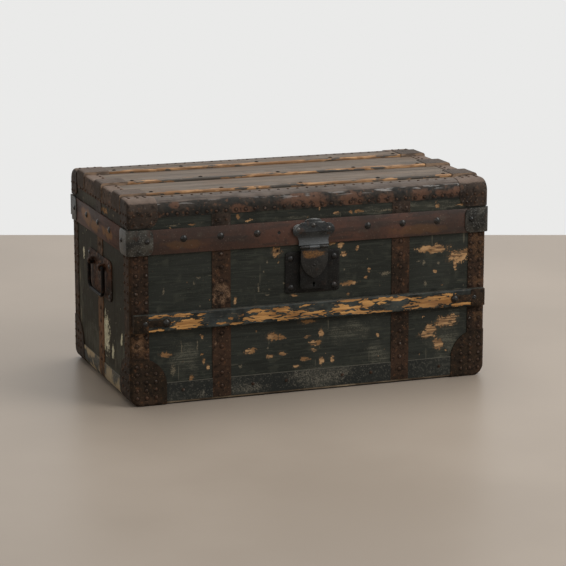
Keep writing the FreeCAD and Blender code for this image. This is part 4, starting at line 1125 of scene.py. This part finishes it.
def old_paper():
    finish = Finish("lining paper")
    stain = finish.cloud(9, 6)
    fox = finish.cloud(70, 5)
    run = (finish.x + finish.y * abs(finish.up).step(0.9, 0.5)) * 420
    stripe = run.math("SINE", run)
    colour = Colour((176, 154, 120), stain, (0.35, 0.7), (142, 118, 86))
    colour.coat(stripe, (0.82, 0.95), (92, 84, 78), 0.35)
    colour.coat(fox, (0.62, 0.72), (98, 70, 44), 0.5)
    return finish.done(colour, 0.85, stain + fox * 0.3, 0.0012)


def lining(name, inside, open_side):
    """A paper box that is open on one side (1 upwards, -1 downwards)."""
    piece = slab(*inside)
    piece.name = name
    edit_faces(piece, lambda face: face.normal.z * open_side > 0.9)
    bpy.ops.mesh.delete(type="FACE")
    bpy.ops.mesh.select_mode(type="EDGE")
    select("DESELECT")
    bpy.ops.mesh.select_non_manifold()
    select("INVERT")
    bpy.ops.mesh.bevel(offset=PAPER_ROUNDING, segments=3, affect="EDGES")
    select("SELECT")
    bpy.ops.mesh.subdivide(number_cuts=12)
    bpy.ops.transform.vertex_random(offset=PAPER_WEAR, uniform=0, normal=0, seed=4)
    mode("OBJECT")
    paper = piece.modifiers.new("paper", "SOLIDIFY")
    paper.thickness = PAPER_SHEET
    paper.offset = 0
    return keep(piece, paper)


paper = old_paper()
for body, inside, open_side in (("case", CASE_INSIDE, 1), ("lid", LID_INSIDE, -1)):
    fit(lining(f"{body}_lining", inside, open_side), body, "bare_board", paper)

# %% [markdown]
# A plain studio
# A pale floor and a pale wall keep the eye on the trunk. The world's colour stands for the wall. The light
# is a broad lamp high on the right, one overhead and a weak one on the left.

# %% Floor, world and lamps
HEADING, TILT = math.radians(-19.851), math.radians(77.448)
CAMERA_PLACE, LENS = (-1.4287, -3.9968, 1.1118), 141.09
WALL_FOOT, FLOOR_SIZE, FLOOR_LEVEL = 1.315, 16, -0.0002
LAMP_AIM = Vector((0, 0, 0.2))
floor_middle = (0, WALL_FOOT - FLOOR_SIZE / 2, FLOOR_LEVEL)
floor = added(bpy.ops.mesh.primitive_plane_add, size=FLOOR_SIZE, location=floor_middle)
floor.name = "floor"
bpy.ops.object.transform_apply()
floor.rotation_euler.z = HEADING
bpy.ops.object.transform_apply()
stone = Finish("pale floor")
haze = stone.cloud(1.4, 6)
floor_colour = Colour((155, 142, 128), haze, (0.35, 0.65), (164, 151, 137))
floor.data.materials.append(stone.done(floor_colour, 0.3 + haze * 0.15))

world = bpy.data.worlds.new("pale wall")
bpy.context.scene.world = world
wall = Recipe(world)
kinds = ("Camera", "Glossy", "Transmission")
seen = reduce(Amount.most, [wall.node("ShaderNodeLightPath", out=f"Is {kind} Ray") for kind in kinds])
lighting = wall.node("ShaderNodeBackground", {"Color": (1, 1, 1, 1), "Strength": 0.36})
backdrop = wall.node("ShaderNodeBackground", {"Color": shade(234, 234, 233), "Strength": 1})
shown = wall.node("ShaderNodeMixShader", {0: seen, 1: lighting, 2: backdrop})
wall.fill(wall.tree.nodes["World Output"], {"Surface": shown})


def lamp(name, place, size, power):
    """A square soft lamp that faces the trunk."""
    item = added(bpy.ops.object.light_add, type="AREA", location=place)
    item.name = name
    item.data.size = size
    item.data.energy = power
    item.rotation_euler = (LAMP_AIM - Vector(place)).to_track_quat("-Z", "Y").to_euler()
    print("lamp:", name, "size", size, "power", power)


lamp("broad lamp on the right", (2.6, -2.2, 2.9), 2.4, 105)
lamp("weak lamp on the left", (-3.0, -2.6, 1.6), 2.0, 9)
lamp("lamp overhead", (0.4, 0.9, 3.2), 2.4, 62)

# %% [markdown]
# The camera
# The camera stands where the photograph was taken from, with a long lens. Its place and lens were worked
# out from the trunk's corners.

# %% Camera
camera = added(bpy.ops.object.camera_add, location=CAMERA_PLACE, rotation=(TILT, 0, HEADING))
camera.data.sensor_width = 36
camera.data.lens = LENS
bpy.context.scene.camera = camera
bpy.context.scene.view_settings.view_transform = "Standard"
